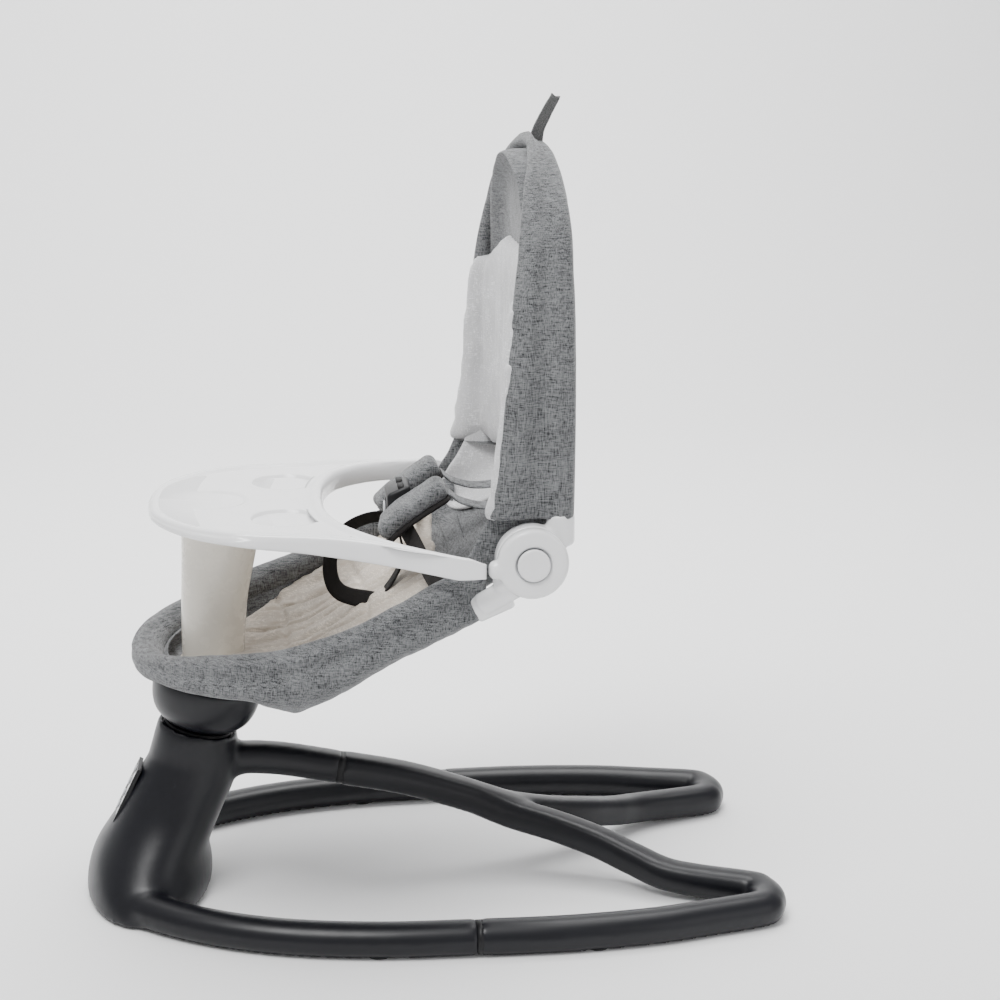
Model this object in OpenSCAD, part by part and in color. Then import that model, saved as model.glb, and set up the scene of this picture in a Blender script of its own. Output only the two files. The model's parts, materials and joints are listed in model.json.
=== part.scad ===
// Baby swing: a seat with a reclining back that swings on a tilted shaft in a hollow column.
// X runs from the foot end (-X) to the head end (+X), Y across, Z up, the floor is Z = 0.

/* [Base] */
// Length of the base from the column's toe to the rear tips
base_l = 700; // [660:5:740]
// Distance between the middles of the two ground rails at their widest
base_track = 380; // [370:5:390]
// Width of a ground rail
rail_w = 38; // [36:1:40]
// Height of a ground rail
rail_h = 30; // [28:1:32]
// Width of a branch of the spine
arm_w = 30; // [28:1:32]
// Depth of the spine and its branches
arm_h = 31; // [29:1:33]

/* [Swing] */
// Backward tilt of the swing shaft from upright
shaft_tilt = 14; // [12:1:16]
// Radius of the swing shaft
shaft_r = 8; // [7:0.5:9]
// Running clearance between the shaft and its bushes
run_gap = 0.05; // [0.03:0.01:0.1]
// Height of the middle of the column's mouth
neck_z = 172; // [168:1:176]
// Radius of the column's mouth
neck_r = 40; // [39:1:42]

/* [Drive] */
// Gear module
gear_m = 1.25; // [1.25]
// Teeth of the full circle that the sector is cut from
sector_z = 36; // [36]
// Teeth of the pinion
pinion_z = 12; // [12]

/* [Seat] */
// Distance from the middle plane to the side tubes
tube_y = 178; // [176:1:180]
// Radius of the frame tubes
tube_r = 9; // [8:0.5:9]
// Thickness of the fabric tub's walls
wall = 12; // [10:1:14]

/* [Hinge] */
// Radius of the recline hinge's discs
hub_r = 33; // [32:1:34]
// Travel of the recline buttons
push = 4; // [3:0.5:4]

/* [Tray] */
// Length of the tray's deck from its front edge to the belly cut
tray_front = -274; // [-278:1:-270]
// Height of the tray's rim
tray_z = 408; // [404:1:410]
// Radius of the cup recesses
cup_r = 33; // [30:1:34]

/* [Hidden] */
$fn = 48;

charcoal = [0.14, 0.14, 0.17];
melange = [0.45, 0.46, 0.47];
off_white = [0.93, 0.92, 0.9];
cream = [0.9, 0.87, 0.8];
steel = [0.7, 0.71, 0.72];
black = [0.08, 0.08, 0.08];

foot_h = 2;             // how far the rubber feet stand out
half_l = base_l / 2;
half_track = base_track / 2;
neck_x = -232;          // the swing shaft crosses the column's mouth here
hub_x = 82;             // the recline axis
hub_z = 388;
seam_low_x = 36;        // where the rear fork joins a ground rail
seam_top = [-91, 0, 102];   // where it joins the stub of the spine
seam_gap = 0.6;         // width of the groove at a seam

// ---- helpers -------------------------------------------------------------

// The stretch of a smooth curve between b and c
function curve_point(a, b, c, d, t) = 0.5 * ((2 * b) + (c - a) * t
    + (2 * a - 5 * b + 4 * c - d) * t * t + (3 * b - a - 3 * c + d) * t * t * t);

// A smooth curve through the points, n steps to a stretch
function smooth(p, n) = [for (i = [0 : len(p) - 2], k = [0 : n - 1])
    curve_point(p[max(i - 1, 0)], p[i], p[i + 1], p[min(i + 2, len(p) - 1)], k / n),
    p[len(p) - 1]];

function ellipse_points(a, b, n = 28) =
    [for (i = [0 : n - 1]) [a * cos(360 * i / n), b * sin(360 * i / n)]];

// A rail's section: flat below, round above, standing on its path
function rail_section(w, h) = concat([[-w / 2 + 5, 0], [w / 2 - 5, 0]],
    [for (a = [0 : 20 : 180]) [w / 2 * cos(a), h * 0.45 + h * 0.55 * sin(a)]]);

function other_side(p) = [for (q = p) [q.x, -q.y, q.z]];
function reversed(p) = [for (i = [len(p) - 1 : -1 : 0]) p[i]];
// A path that ends on the middle plane, carried on down the other side
function both_sides(p) = concat(p, reversed(other_side([for (i = [0 : len(p) - 2]) p[i]])));

function above_feet(p) = [for (q = p) [q.x, q.y, max(q.z, foot_h)]];
function heading(p, i) = p[min(i + 1, len(p) - 1)] - p[max(i - 1, 0)];

// A section carried to step i of a path, at right angles to it
function station(p, i, section) = let (d = heading(p, i), turn = atan2(d.y, d.x),
    rise = atan2(d.z, norm([d.x, d.y])), across = [-sin(turn), cos(turn), 0],
    up = [-sin(rise) * cos(turn), -sin(rise) * sin(turn), cos(rise)])
    [for (q = section) p[i] + q.x * across + q.y * up];

// A closed solid through rings that have the same number of points
module loft(rings) {
    n = len(rings[0]);
    last = (len(rings) - 1) * n;
    polyhedron(points = [for (r = rings) each r], faces = concat(
        [[for (j = [0 : n - 1]) j]],
        [for (i = [0 : len(rings) - 2], j = [0 : n - 1])
            [i * n + j, (i + 1) * n + j, i * n + (j + 1) % n]],
        [for (i = [0 : len(rings) - 2], j = [0 : n - 1])
            [(i + 1) * n + j, (i + 1) * n + (j + 1) % n, i * n + (j + 1) % n]],
        [[for (j = [n - 1 : -1 : 0]) last + j]]));
}

// Sweeps one flat shape along a path
module sweep(p, section) loft([for (i = [0 : len(p) - 1]) station(p, i, section)]);

// Joins lofted shapes into one faceted solid
module one_mesh() resize([0, 0, 0]) children();

module on_side(s) {
    mirror([0, s < 0 ? 1 : 0, 0]) children();
}

// The frame of the tilted shaft: its Z is the swing axis, 0 is the column's mouth
module shaft_frame() {
    translate([neck_x, 0, neck_z]) rotate([0, shaft_tilt, 0]) children();
}

// Lies along +Y from y, round the recline axis
module hub_frame(y) {
    translate([hub_x, y, hub_z]) rotate([-90, 0, 0]) children();
}

module tube_between(a, b, r) {
    d = b - a;
    translate(a) rotate([0, acos(d.z / norm(d)), atan2(d.y, d.x)]) cylinder(r = r, h = norm(d));
}

// A side outline in X and Z, given a thickness across Y
module across(y0, y1) {
    translate([0, y1, 0]) rotate([90, 0, 0]) linear_extrude(y1 - y0) children();
}

// ---- base ----------------------------------------------------------------

tip_r = 27;             // radius of the turn at a rear tip
// Half of the fork: along the ground rail, round the tip and up a branch
branch_path = above_feet(smooth(concat(
    [[seam_low_x, half_track, foot_h], [120, half_track + 1, foot_h],
        [205, half_track - 6, foot_h], [268, half_track - 19, foot_h]],
    [for (a = [60 : -30 : -60]) [half_l - rail_w / 2 - tip_r + tip_r * cos(a),
        136 + tip_r * sin(a), foot_h]],
    [[245, 88, 6], [208, 62, 14], [172, 38, 25], [130, 19, 36], [85, 8, 48], [62, 4, 61], [40, 1, 72]]), 3));
spine_path = smooth([[92, 0, 45], [60, 0, 58], [20, 0, 73], [-30, 0, 89], seam_top], 3);
stub_path = smooth([[-222, 0, 118], [-190, 0, 119], [-150, 0, 114],
    seam_top - [seam_gap, 0, 0]], 2);
ring_path = smooth(both_sides([[seam_low_x - seam_gap, half_track, foot_h],
    [-60, half_track - 4, foot_h], [-150, half_track - 20, foot_h],
    [-225, half_track - 50, foot_h], [-285, 98, foot_h], [-318, 50, foot_h],
    [rail_w / 2 - half_l, 0, foot_h]]), 3);

// Rings of the column: height, middle in X, half length, half width
column_rings = [[foot_h, 63 - half_l, 63, 118], [20, 64 - half_l, 63, 110],
    [45, 67 - half_l, 58, 88], [80, 85 - half_l, 54, 62], [110, 100 - half_l, 52, 50],
    [140, 112 - half_l, 46, 43]];
shell_t = 4;
spine_w = 34;

// The mouth of the column as a ring, raised along the shaft
function mouth_ring(r, raised, n = 28) = [for (i = [0 : n - 1]) let (a = 360 * i / n)
    [neck_x, 0, neck_z] + raised * [sin(shaft_tilt), 0, cos(shaft_tilt)]
        + r * cos(a) * [cos(shaft_tilt), 0, -sin(shaft_tilt)] + [0, r * sin(a), 0]];

// The column's skin, or with an inset the space inside it, which runs out at both ends
module column(inset) loft(concat(
    [for (i = [0 : len(column_rings) - 1]) let (r = column_rings[i],
        z = r[0] - (i == 0 && inset > 0 ? 1 : 0))
        [for (q = ellipse_points(r[2] - inset, r[3] - inset)) [q.x + r[1], q.y, z]]],
    [mouth_ring(neck_r - inset, inset > 0 ? 1 : 0)]));

panel_tilt = 26;
module panel_frame() {
    translate([-307, 0, 102]) rotate([0, panel_tilt - 90, 0]) children();
}

module panel_outline(w, h) {
    hull() for (x = [-1, 1], y = [-1, 1])
        translate([x * (h / 2 - 6), y * (w / 2 - 6)]) circle(r = 6);
}

module base_body() color(charcoal) one_mesh() difference() {
    union() {
        column(0);
        sweep(ring_path, rail_section(rail_w, rail_h));
        sweep(stub_path, rail_section(spine_w, arm_h));
    }
    column(shell_t);
    panel_frame() translate([0, 0, -8]) linear_extrude(20) square([62, 36], center = true);
    translate([-240, 0, 40]) rotate([0, 90, 0]) cylinder(r = 6.2, h = 40);
}

// A branch thins from the ground rail's section to its own, and its end hides in the spine
function branch_section(t) = let (k = min(max((t - 0.45) / 0.3, 0), 1),
    hidden = max((t - 0.87) / 0.13, 0))
    rail_section(rail_w + (arm_w - rail_w) * k - 9 * hidden,
        rail_h + (arm_h - 1 - rail_h) * k - 12 * hidden);

module rear_fork() color(charcoal) one_mesh() union() {
    sweep(spine_path, rail_section(spine_w, arm_h));
    for (s = [-1, 1]) on_side(s) loft([for (i = [0 : len(branch_path) - 1])
        station(branch_path, i, branch_section(i / (len(branch_path) - 1)))]);
}

cover_t = 3;
screw_spots = [[-30, 70], [-30, -70], [30, 70], [30, -70]];
module base_cover() color(charcoal) translate([63 - half_l, 0, foot_h])
    difference() {
        linear_extrude(cover_t) polygon(ellipse_points(63 - shell_t - 0.6, 118 - shell_t - 3));
        for (p = screw_spots) translate([p.x, p.y, -1]) cylinder(r = 2.2, h = cover_t + 2);
    }

module cover_screws() color(steel) for (p = screw_spots)
    translate([63 - half_l + p.x, p.y, foot_h]) {
        cylinder(r = 1.9, h = 12);
        translate([0, 0, -1.2]) cylinder(r = 4, h = 1.2);
    }

feet = [[-290, 92], [-60, half_track - 4], [150, half_track], [300, 160]];
module rubber_feet() color(black) for (p = feet, s = [-1, 1])
    translate([p.x, s * p.y, 0]) cylinder(r = 12, h = foot_h);

// ---- controls in the column ----------------------------------------------

button_row = [-20, -6, 8, 22];
button_r = 4;
module control_panel() color(black) panel_frame() difference() {
    translate([0, 0, -3.5]) linear_extrude(4) square([61.4, 35.4], center = true);
    for (x = button_row) translate([x, 5, -5]) cylinder(r = button_r + 0.2, h = 8);
    translate([0, -9, -1]) linear_extrude(3) square([50.2, 8.2], center = true);
}

module panel_window() color([0.2, 0.25, 0.3]) panel_frame()
    translate([0, -9, -1]) linear_extrude(1.6) square([50, 8], center = true);

module panel_button(i) color(off_white) panel_frame()
    translate([button_row[i], 5, -5.2]) cylinder(r = button_r, h = 7);

module power_button() panel_button(0);
module speed_button() panel_button(1);
module timer_button() panel_button(2);
module music_button() panel_button(3);

module circuit_board() color([0.1, 0.4, 0.2]) panel_frame()
    translate([0, 0, -7.9]) linear_extrude(1.4) square([58, 32], center = true);

module speaker() color(black) translate([-282, 62, 20]) {
    cylinder(r = 20, h = 4);
    translate([0, 0, 4]) cylinder(r1 = 18, r2 = 10, h = 9);
    translate([0, 0, 13]) cylinder(r = 10, h = 5);
}

socket_z = 40;
module dc_socket() color(black) translate([-240, 0, socket_z]) rotate([0, 90, 0]) difference() {
    union() {
        cylinder(r = 6, h = 14);
        cylinder(r = 8, h = 3);
    }
    translate([0, 0, 4]) cylinder(r = 2.9, h = 11);
}

// ---- drive ---------------------------------------------------------------

sector_r = gear_m * sector_z / 2;
pinion_r = gear_m * pinion_z / 2;
gear_gap = sector_r + pinion_r;
sector_h = -74;         // height of the gears along the shaft
gear_t = 8;
pressure = 20;
backlash = 0.3;         // taken off each tooth's width at the pitch circle

function involute(a) = tan(a) * 180 / PI - a;
// Half of a tooth's angle at radius r on a gear of pitch radius p
function half_tooth(r, p, z) = 90 / z - backlash / p * 90 / PI + involute(pressure)
    - involute(acos(min(1, p * cos(pressure) / max(r, p * cos(pressure)))));
function tooth_radii(p) = [p - 1.3 * gear_m, p * cos(pressure), p, p + 0.75 * gear_m];
function one_tooth(mid, p, z) = let (r = [for (q = tooth_radii(p)) max(q, p - 1.3 * gear_m)])
    concat([for (q = r) let (a = mid - half_tooth(q, p, z)) q * [cos(a), sin(a)]],
        [for (i = [3 : -1 : 0]) let (a = mid + half_tooth(r[i], p, z)) r[i] * [cos(a), sin(a)]]);

module drive_pinion() color(steel) shaft_frame() translate([-gear_gap, 0, sector_h])
    difference() {
        linear_extrude(gear_t)
            polygon([for (k = [0 : pinion_z - 1]) each one_tooth(k * 360 / pinion_z, pinion_r,
                pinion_z)]);
        translate([0, 0, -1]) cylinder(r = 2.55, h = gear_t + 2);
    }

module sector_gear() color(off_white) shaft_frame() translate([0, 0, sector_h]) difference() {
    union() {
        linear_extrude(gear_t) polygon(concat(
            [for (k = [-3 : 2]) each one_tooth(180 + (k + 0.5) * 360 / sector_z, sector_r,
                sector_z)],
            [for (a = [215, 180, 145]) 12 * [cos(a), sin(a)]]));
        cylinder(r = 14, h = gear_t + 4);
    }
    translate([0, 0, -1]) cylinder(r = shaft_r, h = gear_t + 6);
}

// The motor and gearbox hang below the pinion, along the shaft's tilt
module gearbox() color(steel) shaft_frame() translate([-gear_gap, 0, sector_h - 26]) {
    linear_extrude(20) square([26, 34], center = true);
    translate([0, 0, 20]) cylinder(r = 2.5, h = 13);
}

module gear_motor() color(steel) shaft_frame() translate([-gear_gap, 0, sector_h - 26]) {
    translate([0, 0, -36]) cylinder(r = 12, h = 36);
    translate([0, 0, -40]) cylinder(r = 5, h = 4);
}

module motor_bracket() color(steel) shaft_frame()
    translate([-gear_gap, 0, sector_h - 6]) difference() {
        linear_extrude(3) square([24, 40], center = true);
        translate([0, 0, -1]) cylinder(r = 4, h = 5);
    }

housing_r = 22;
bush_r = 12;
module bearing_housing() color(charcoal) shaft_frame() difference() {
    union() {
        translate([0, 0, -58]) cylinder(r = housing_r, h = 54);
        translate([0, 0, -9]) cylinder(r = neck_r - shell_t - 0.4, h = 5);
    }
    translate([0, 0, -59]) cylinder(r = bush_r, h = 56);
}

module bush(h0, flange_h) color(off_white) shaft_frame() difference() {
    union() {
        translate([0, 0, h0]) cylinder(r = bush_r, h = 14);
        translate([0, 0, flange_h]) cylinder(r = bush_r + 3, h = 2);
    }
    translate([0, 0, h0 - 5]) cylinder(r = shaft_r + run_gap, h = 24);
}

module upper_bush() bush(-18, -4);
module lower_bush() bush(-58, -60);

module swing_shaft() color(steel) shaft_frame() {
    translate([0, 0, -82]) cylinder(r = shaft_r, h = 104);
    translate([0, 0, -88]) cylinder(r = 5, h = 6);
}

module shaft_nut() color(steel) shaft_frame() translate([0, 0, -88]) difference() {
    cylinder(r = 10, h = 6, $fn = 6);
    translate([0, 0, -1]) cylinder(r = 5, h = 8);
}

// ---- swing head and seat frame -------------------------------------------

head_r = 54;
head_h = 28.5;
module swing_head() color(charcoal) shaft_frame() difference() {
    rotate_extrude() polygon(concat([[0, 0.4]], [for (a = [0 : 9 : 90])
        [30 + (head_r - 30) * sin(a), 0.4 + (head_h - 0.4) * (1 - cos(a))]], [[0, head_h]]));
    translate([0, 0, -2]) cylinder(r = shaft_r, h = 24);
    translate([0, 0, head_h - 3]) cylinder(r = 46, h = 4);
}

bracket_z = 217;
bolt_spots = [[-14, 24], [-14, -24], [26, 24], [26, -24]];
module seat_bracket() color(steel) difference() {
    intersection() {
        shaft_frame() translate([0, 0, head_h - 3]) cylinder(r = 45.6, h = 60);
        translate([-300, -60, 100]) cube([200, 120, bracket_z - 100]);
    }
    for (p = bolt_spots) translate([neck_x + p.x, p.y, 150]) cylinder(r = 3, h = 80);
}

module bracket_screws() color(steel) for (p = bolt_spots)
    translate([neck_x + p.x, p.y, 206]) cylinder(r = 2.9, h = 11);

seat_path = smooth(both_sides([[47, tube_y, 346], [-42, tube_y - 1, 309], [-110, 172, 280],
    [-160, 158, 263], [-208, 134, 259], [-250, 98, 257], [-276, 52, 254], [-284, 0, 252]]), 2);
tube_section = ellipse_points(tube_r, tube_r, 14);
module seat_tube() color(steel) sweep(seat_path, tube_section);

back_path = smooth(both_sides([[110, tube_y, 430], [110, 176, 530], [109, 164, 610],
    [107, 143, 680], [104, 108, 718], [101, 58, 740], [100, 0, 747]]), 2);
module back_tube() color(steel) sweep(back_path, tube_section);

// ---- recline hinges ------------------------------------------------------

back_y = 174;           // inner face of the backrest's disc
split_y = 192;          // inner face of the seat's disc
cover_y = 206;          // outer face of the seat's disc
gap = 0.3;
gear_y = 187.5;
lock_r = 19.8;
lock_t = 8;
bar_y = 196.8;
teeth = 18;

module toothed(r, depth) {
    union() {
        circle(r = r - depth);
        for (k = [0 : teeth - 1]) rotate(k * 360 / teeth)
            translate([r - depth - 1, -1.4]) square([depth + 1, 2.8]);
    }
}

module seat_hub(s) color(off_white) on_side(s) difference() {
    union() {
        hub_frame(split_y) cylinder(r = hub_r, h = cover_y - split_y);
        tube_between([61, tube_y, 352.5], [22, tube_y, 335.5], tube_r + 4);
        across(184, cover_y - 3) polygon([[60, 372], [48, 356], [26, 346], [34, 328],
            [66, 344], [96, 358]]);
    }
    hub_frame(170) cylinder(r = hub_r + 1, h = split_y - 170);
    tube_between([50, tube_y, 347.7], [10, tube_y, 330.2], tube_r + 0.05);
    difference() {
        hub_frame(split_y - 1) linear_extrude(11) union() {
            circle(r = lock_r - 2 + 0.3);
            for (k = [0 : teeth - 1]) rotate(k * 360 / teeth)
                translate([lock_r - 4, -1.7]) square([4.3, 3.4]);
        }
        hub_frame(bar_y) linear_extrude(3) square([44, 14], center = true);
    }
    hub_frame(bar_y - 1) cylinder(r = 4, h = 5);
    hub_frame(cover_y - 5) cylinder(r = 15.2, h = 6);
}

module back_hub(s) color(off_white) on_side(s) difference() {
    union() {
        hub_frame(back_y) cylinder(r = hub_r, h = split_y - gap - back_y);
        translate([110, tube_y, 404]) cylinder(r = tube_r + 4, h = 56);
        across(back_y, split_y - gap) polygon([[86, 418], [98, 452], [121, 452], [121, 412],
            [112, 384]]);
    }
    hub_frame(back_y + 3) cylinder(r = 21, h = 20);
    hub_frame(back_y - 1) cylinder(r = 4.05, h = 6);
    translate([110, tube_y, 428]) cylinder(r = tube_r + 0.05, h = 40);
}

module pivot_pin(s) color(steel) on_side(s) {
    hub_frame(back_y - gap - 2.4) cylinder(r = 8, h = 2.4);
    hub_frame(back_y - gap) cylinder(r = 4, h = bar_y + 3 - back_y + gap);
}

module lock_gear(s) color(steel) on_side(s) hub_frame(gear_y) difference() {
    linear_extrude(lock_t) toothed(lock_r, 2);
    translate([0, 0, -1]) cylinder(r = 4.4, h = lock_t + 2);
}

module recline_button(s) color(off_white) on_side(s) {
    hub_frame(204.2) cylinder(r = 15, h = 4.5);
    for (k = [-1, 1]) hub_frame(gear_y + lock_t) translate([0, k * 11, 0])
        cylinder(r = 2.5, h = 204.2 - gear_y - lock_t);
}

// A conical spring drawn as its envelope, pushing the lock gear outwards
module button_spring(s) color(steel) on_side(s) hub_frame(back_y + 3) difference() {
    cylinder(r = 12, h = gear_y - back_y - 3);
    translate([0, 0, -1]) cylinder(r = 9.5, h = gear_y - back_y);
}

module left_seat_hub() seat_hub(-1);
module right_seat_hub() seat_hub(1);
module left_back_hub() back_hub(-1);
module right_back_hub() back_hub(1);
module left_pivot_pin() pivot_pin(-1);
module right_pivot_pin() pivot_pin(1);
module left_lock_gear() lock_gear(-1);
module right_lock_gear() lock_gear(1);
module left_recline_button() recline_button(-1);
module right_recline_button() recline_button(1);
module left_button_spring() button_spring(-1);
module right_button_spring() button_spring(1);

// ---- soft parts of the seat ----------------------------------------------

// Half width of the tub at a place along X, foot to hip
tub_plan = [[-300, 24], [-294, 56], [-276, 98], [-240, 136], [-190, 164], [-130, 182],
    [-60, 190], [40, 191]];
tub_floor = [[-290, 219], [-148, 224], [-120, 238], [40, 328]];
tub_rim = [[40, 386], [-42, 342], [-95, 314], [-150, 297], [-200, 286], [-250, 274],
    [-300, 262]];
floor_t = 14;

function mirrored_outline(p) = concat(p, [for (i = [len(p) - 1 : -1 : 0]) [p[i].x, -p[i].y]]);
function narrowed(p, d) = [for (q = p) [max(q.x, p[0].x + d), max(q.y - d, 0.01)]];

module tub(inset, lift) intersection() {
    linear_extrude(460) polygon(mirrored_outline(narrowed(tub_plan, inset)));
    across(-200, 200) polygon(concat([for (q = tub_floor) q + [0, lift]],
        lift > 0 ? [[40, 450], [-300, 450]] : concat(tub_rim, [[-303, 240]])));
}

module seat_shell() color(melange) difference() {
    tub(0, 0);
    tub(wall, floor_t);
    translate([35, -150, 300]) cube([20, 300, 150]);
}

module seat_pad() color(cream) intersection() {
    linear_extrude(460) polygon(mirrored_outline(narrowed(tub_plan, wall + 14)));
    across(-150, 150) polygon([[-148, 238.5], [-120, 252.5], [34, 339], [29, 348],
        [-125, 262], [-155, 248.5], [-245, 244], [-245, 233.8]]);
    translate([-165, -150, 230]) cube([210, 300, 150]);
}

module crotch_strap() color(black) across(-14, 14) polygon([[-38, 309], [-33, 311.8],
    [-24, 340], [-24, 372], [-27, 372], [-27, 341]]);

module harness_buckle() color(black) difference() {
    across(-24, 24) polygon([[-40, 372.3], [-16, 372.3], [-16, 420], [-40, 412]]);
    translate([-41, 0, 392]) rotate([0, 90, 0]) cylinder(r = 8.2, h = 12);
}

module buckle_button() color([0.6, 0.6, 0.6]) translate([-42.4, 0, 392]) rotate([0, 90, 0])
    cylinder(r = 8, h = 10);

// Lap webbing from the buckle out to the tub's side wall
module waist_strap(s) color(black) on_side(s) translate([0, 0, 373])
    linear_extrude(22) polygon([[-29, 24.3], [-10, 90], [10, 172], [7, 172.5], [-13, 91],
        [-32, 24.3]]);
module left_waist_strap() waist_strap(-1);
module right_waist_strap() waist_strap(1);

// ---- soft parts of the backrest ------------------------------------------

// Half width of the backrest at a height
back_plan = [[424, 0], [424, 190], [540, 188], [620, 178], [680, 158], [724, 118],
    [750, 66], [762, 0]];
back_side = [[122, 424], [122, 700], [114, 745], [104, 764], [88, 764], [76, 700],
    [62, 620], [56, 540], [56, 462], [78, 424]];
back_front = 101;       // face of the hollow's floor

module back_outline(inset) rotate([90, 0, 90]) linear_extrude(300)
    polygon(mirrored_yz([for (q = back_plan)
        [min(max(q[0], 424 + inset), 762 - inset), max(q[1] - inset, 0)]]));
function mirrored_yz(p) = concat([for (q = p) [q[1], q[0]]],
    [for (i = [len(p) - 2 : -1 : 1]) [-p[i][1], p[i][0]]]);

module backrest_shell() color(melange) difference() {
    intersection() {
        back_outline(0);
        across(-200, 200) polygon(back_side);
    }
    intersection() {
        translate([-1, 0, 0]) back_outline(15);
        translate([0, -200, 300]) cube([back_front, 400, 600]);
    }
    for (s = [-1, 1]) on_side(s) translate([40, 164.5, 400]) cube([100, 40, 62]);
}

module backrest_pad() color(off_white) intersection() {
    back_outline(40);
    across(-160, 160) polygon([[100.7, 470], [100.7, 690], [92, 690], [88, 470]]);
    translate([0, -160, 470]) cube([120, 320, 215]);
}

// Padded sleeve on the shoulder webbing, from the backrest's face to the buckle's side
module shoulder_strap(s) color(melange) on_side(s)
    across(30, 58) polygon([[72.5, 433], [34, 424], [12, 434], [-8, 428],
        [-38, 404], [-32, 397], [-4, 419], [12, 425], [34, 415], [76, 425]]);
module left_shoulder_strap() shoulder_strap(-1);
module right_shoulder_strap() shoulder_strap(1);

module head_loop() color(melange) across(-6, 6) polygon([[104, 764.3], [113, 764.3],
    [124, 788], [127, 795], [120, 795], [112, 780]]);

// ---- tray ----------------------------------------------------------------

// Half of the tray's outer edge, then half of its belly cut
tray_edge = smooth([[tray_front, 0, 0], [-267, 60, 0], [-236, 112, 0], [-186, 142, 0],
    [-120, 155, 0], [-50, 176, 0], [14, 204, 0], [38, 211, 0]], 3);
belly_edge = smooth([[38, 208.5, 0], [10, 194, 0], [-44, 158, 0], [-82, 112, 0],
    [-99, 60, 0], [-103, 0, 0]], 3);
deck_t = 8;
skirt_h = 27;

function flat(p) = [for (q = p) [q.x, q.y]];
function tray_half() = concat(flat(tray_edge), flat(belly_edge));
function whole_tray() = let (a = flat(tray_edge), b = flat(belly_edge))
    concat(a, b, [for (i = [len(b) - 2 : -1 : 0]) [b[i].x, -b[i].y]],
        [for (i = [len(a) - 1 : -1 : 1]) [a[i].x, -a[i].y]]);

module tray() color(off_white) difference() {
    intersection() {
        translate([0, 0, tray_z - 50]) linear_extrude(60) polygon(whole_tray());
        across(-230, 230) polygon([[-280, tray_z], [-90, tray_z - 1], [40, tray_z - 15],
            [40, tray_z - 37], [-90, tray_z - skirt_h], [-280, tray_z - skirt_h]]);
    }
    // the hollow under the deck
    intersection() {
        translate([0, 0, tray_z - 50]) linear_extrude(50 - deck_t) intersection() {
            translate([4, 0]) polygon(whole_tray());
            translate([-268, -138]) square([158, 276]);
        }
        translate([-266, -135, 300]) cube([154, 270, 200]);
    }
    for (s = [-1, 1]) translate([-140, s * 74, tray_z - 5]) cylinder(r = cup_r, h = 20);
    translate([-214, 0, tray_z - 3]) cylinder(r = 36, h = 20);
}

post_top = tray_z - deck_t - 0.2;
module tray_post() color(cream) hull() {
    translate([-207, 0, post_top - 1]) cylinder(r = 36, h = 1);
    translate([-214, 0, 237.2]) cylinder(r = 30, h = 1);
}

base_body();
rear_fork();
base_cover();
cover_screws();
rubber_feet();
control_panel();
panel_window();
power_button();
speed_button();
timer_button();
music_button();
circuit_board();
speaker();
dc_socket();
gear_motor();
gearbox();
motor_bracket();
bearing_housing();
upper_bush();
lower_bush();
drive_pinion();
sector_gear();
swing_shaft();
shaft_nut();
swing_head();
seat_bracket();
bracket_screws();
seat_tube();
left_seat_hub();
right_seat_hub();
left_pivot_pin();
right_pivot_pin();
left_back_hub();
right_back_hub();
left_lock_gear();
right_lock_gear();
left_recline_button();
right_recline_button();
left_button_spring();
right_button_spring();
seat_shell();
seat_pad();
crotch_strap();
left_waist_strap();
right_waist_strap();
harness_buckle();
buckle_button();
back_tube();
backrest_shell();
backrest_pad();
left_shoulder_strap();
right_shoulder_strap();
head_loop();
tray();
tray_post();
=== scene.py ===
"""Looks of the baby swing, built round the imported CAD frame. Lengths here are in mm until a mesh is made."""
import json
import math

import bmesh
import bpy
import numpy as np
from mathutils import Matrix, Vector, noise


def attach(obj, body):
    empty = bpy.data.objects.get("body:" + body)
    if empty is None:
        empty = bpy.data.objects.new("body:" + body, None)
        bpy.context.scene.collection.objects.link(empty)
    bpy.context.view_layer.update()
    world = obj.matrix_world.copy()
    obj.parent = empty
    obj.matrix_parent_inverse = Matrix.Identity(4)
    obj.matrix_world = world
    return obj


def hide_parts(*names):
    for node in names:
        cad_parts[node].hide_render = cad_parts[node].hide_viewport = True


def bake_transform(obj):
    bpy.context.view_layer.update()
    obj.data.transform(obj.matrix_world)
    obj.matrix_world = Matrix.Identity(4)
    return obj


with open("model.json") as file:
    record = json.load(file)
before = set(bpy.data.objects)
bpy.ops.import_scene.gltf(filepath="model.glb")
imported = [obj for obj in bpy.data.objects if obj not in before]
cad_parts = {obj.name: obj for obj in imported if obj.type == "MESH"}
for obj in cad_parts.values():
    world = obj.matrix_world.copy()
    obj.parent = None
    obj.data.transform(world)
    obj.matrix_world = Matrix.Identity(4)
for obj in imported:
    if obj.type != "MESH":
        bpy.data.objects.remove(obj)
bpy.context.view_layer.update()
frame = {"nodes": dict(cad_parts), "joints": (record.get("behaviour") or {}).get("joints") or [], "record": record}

MM = 0.001
HINGE = next(j for j in frame["joints"] if j["name"] == "back_recline")["pos_m"]
SHAFT = next(j for j in frame["joints"] if j["name"] == "seat_swing")
NECK = np.array(SHAFT["pos_m"]) / MM
SHAFT_AXIS = np.array(SHAFT["axis"])
HUB_X, HUB_Z = HINGE[0] / MM, HINGE[2] / MM


# ---- camera, light and floor ------------------------------------------------

CAMERA_TURN = math.radians(-4.5)
CAMERA_RISE = math.radians(13.2)
CAMERA_ROLL = math.radians(0.4)
CAMERA_AWAY = 1.9
CAMERA_LENS = 68.4
CAMERA_AIM = Vector((0.075, 0.0, 0.398))


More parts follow.
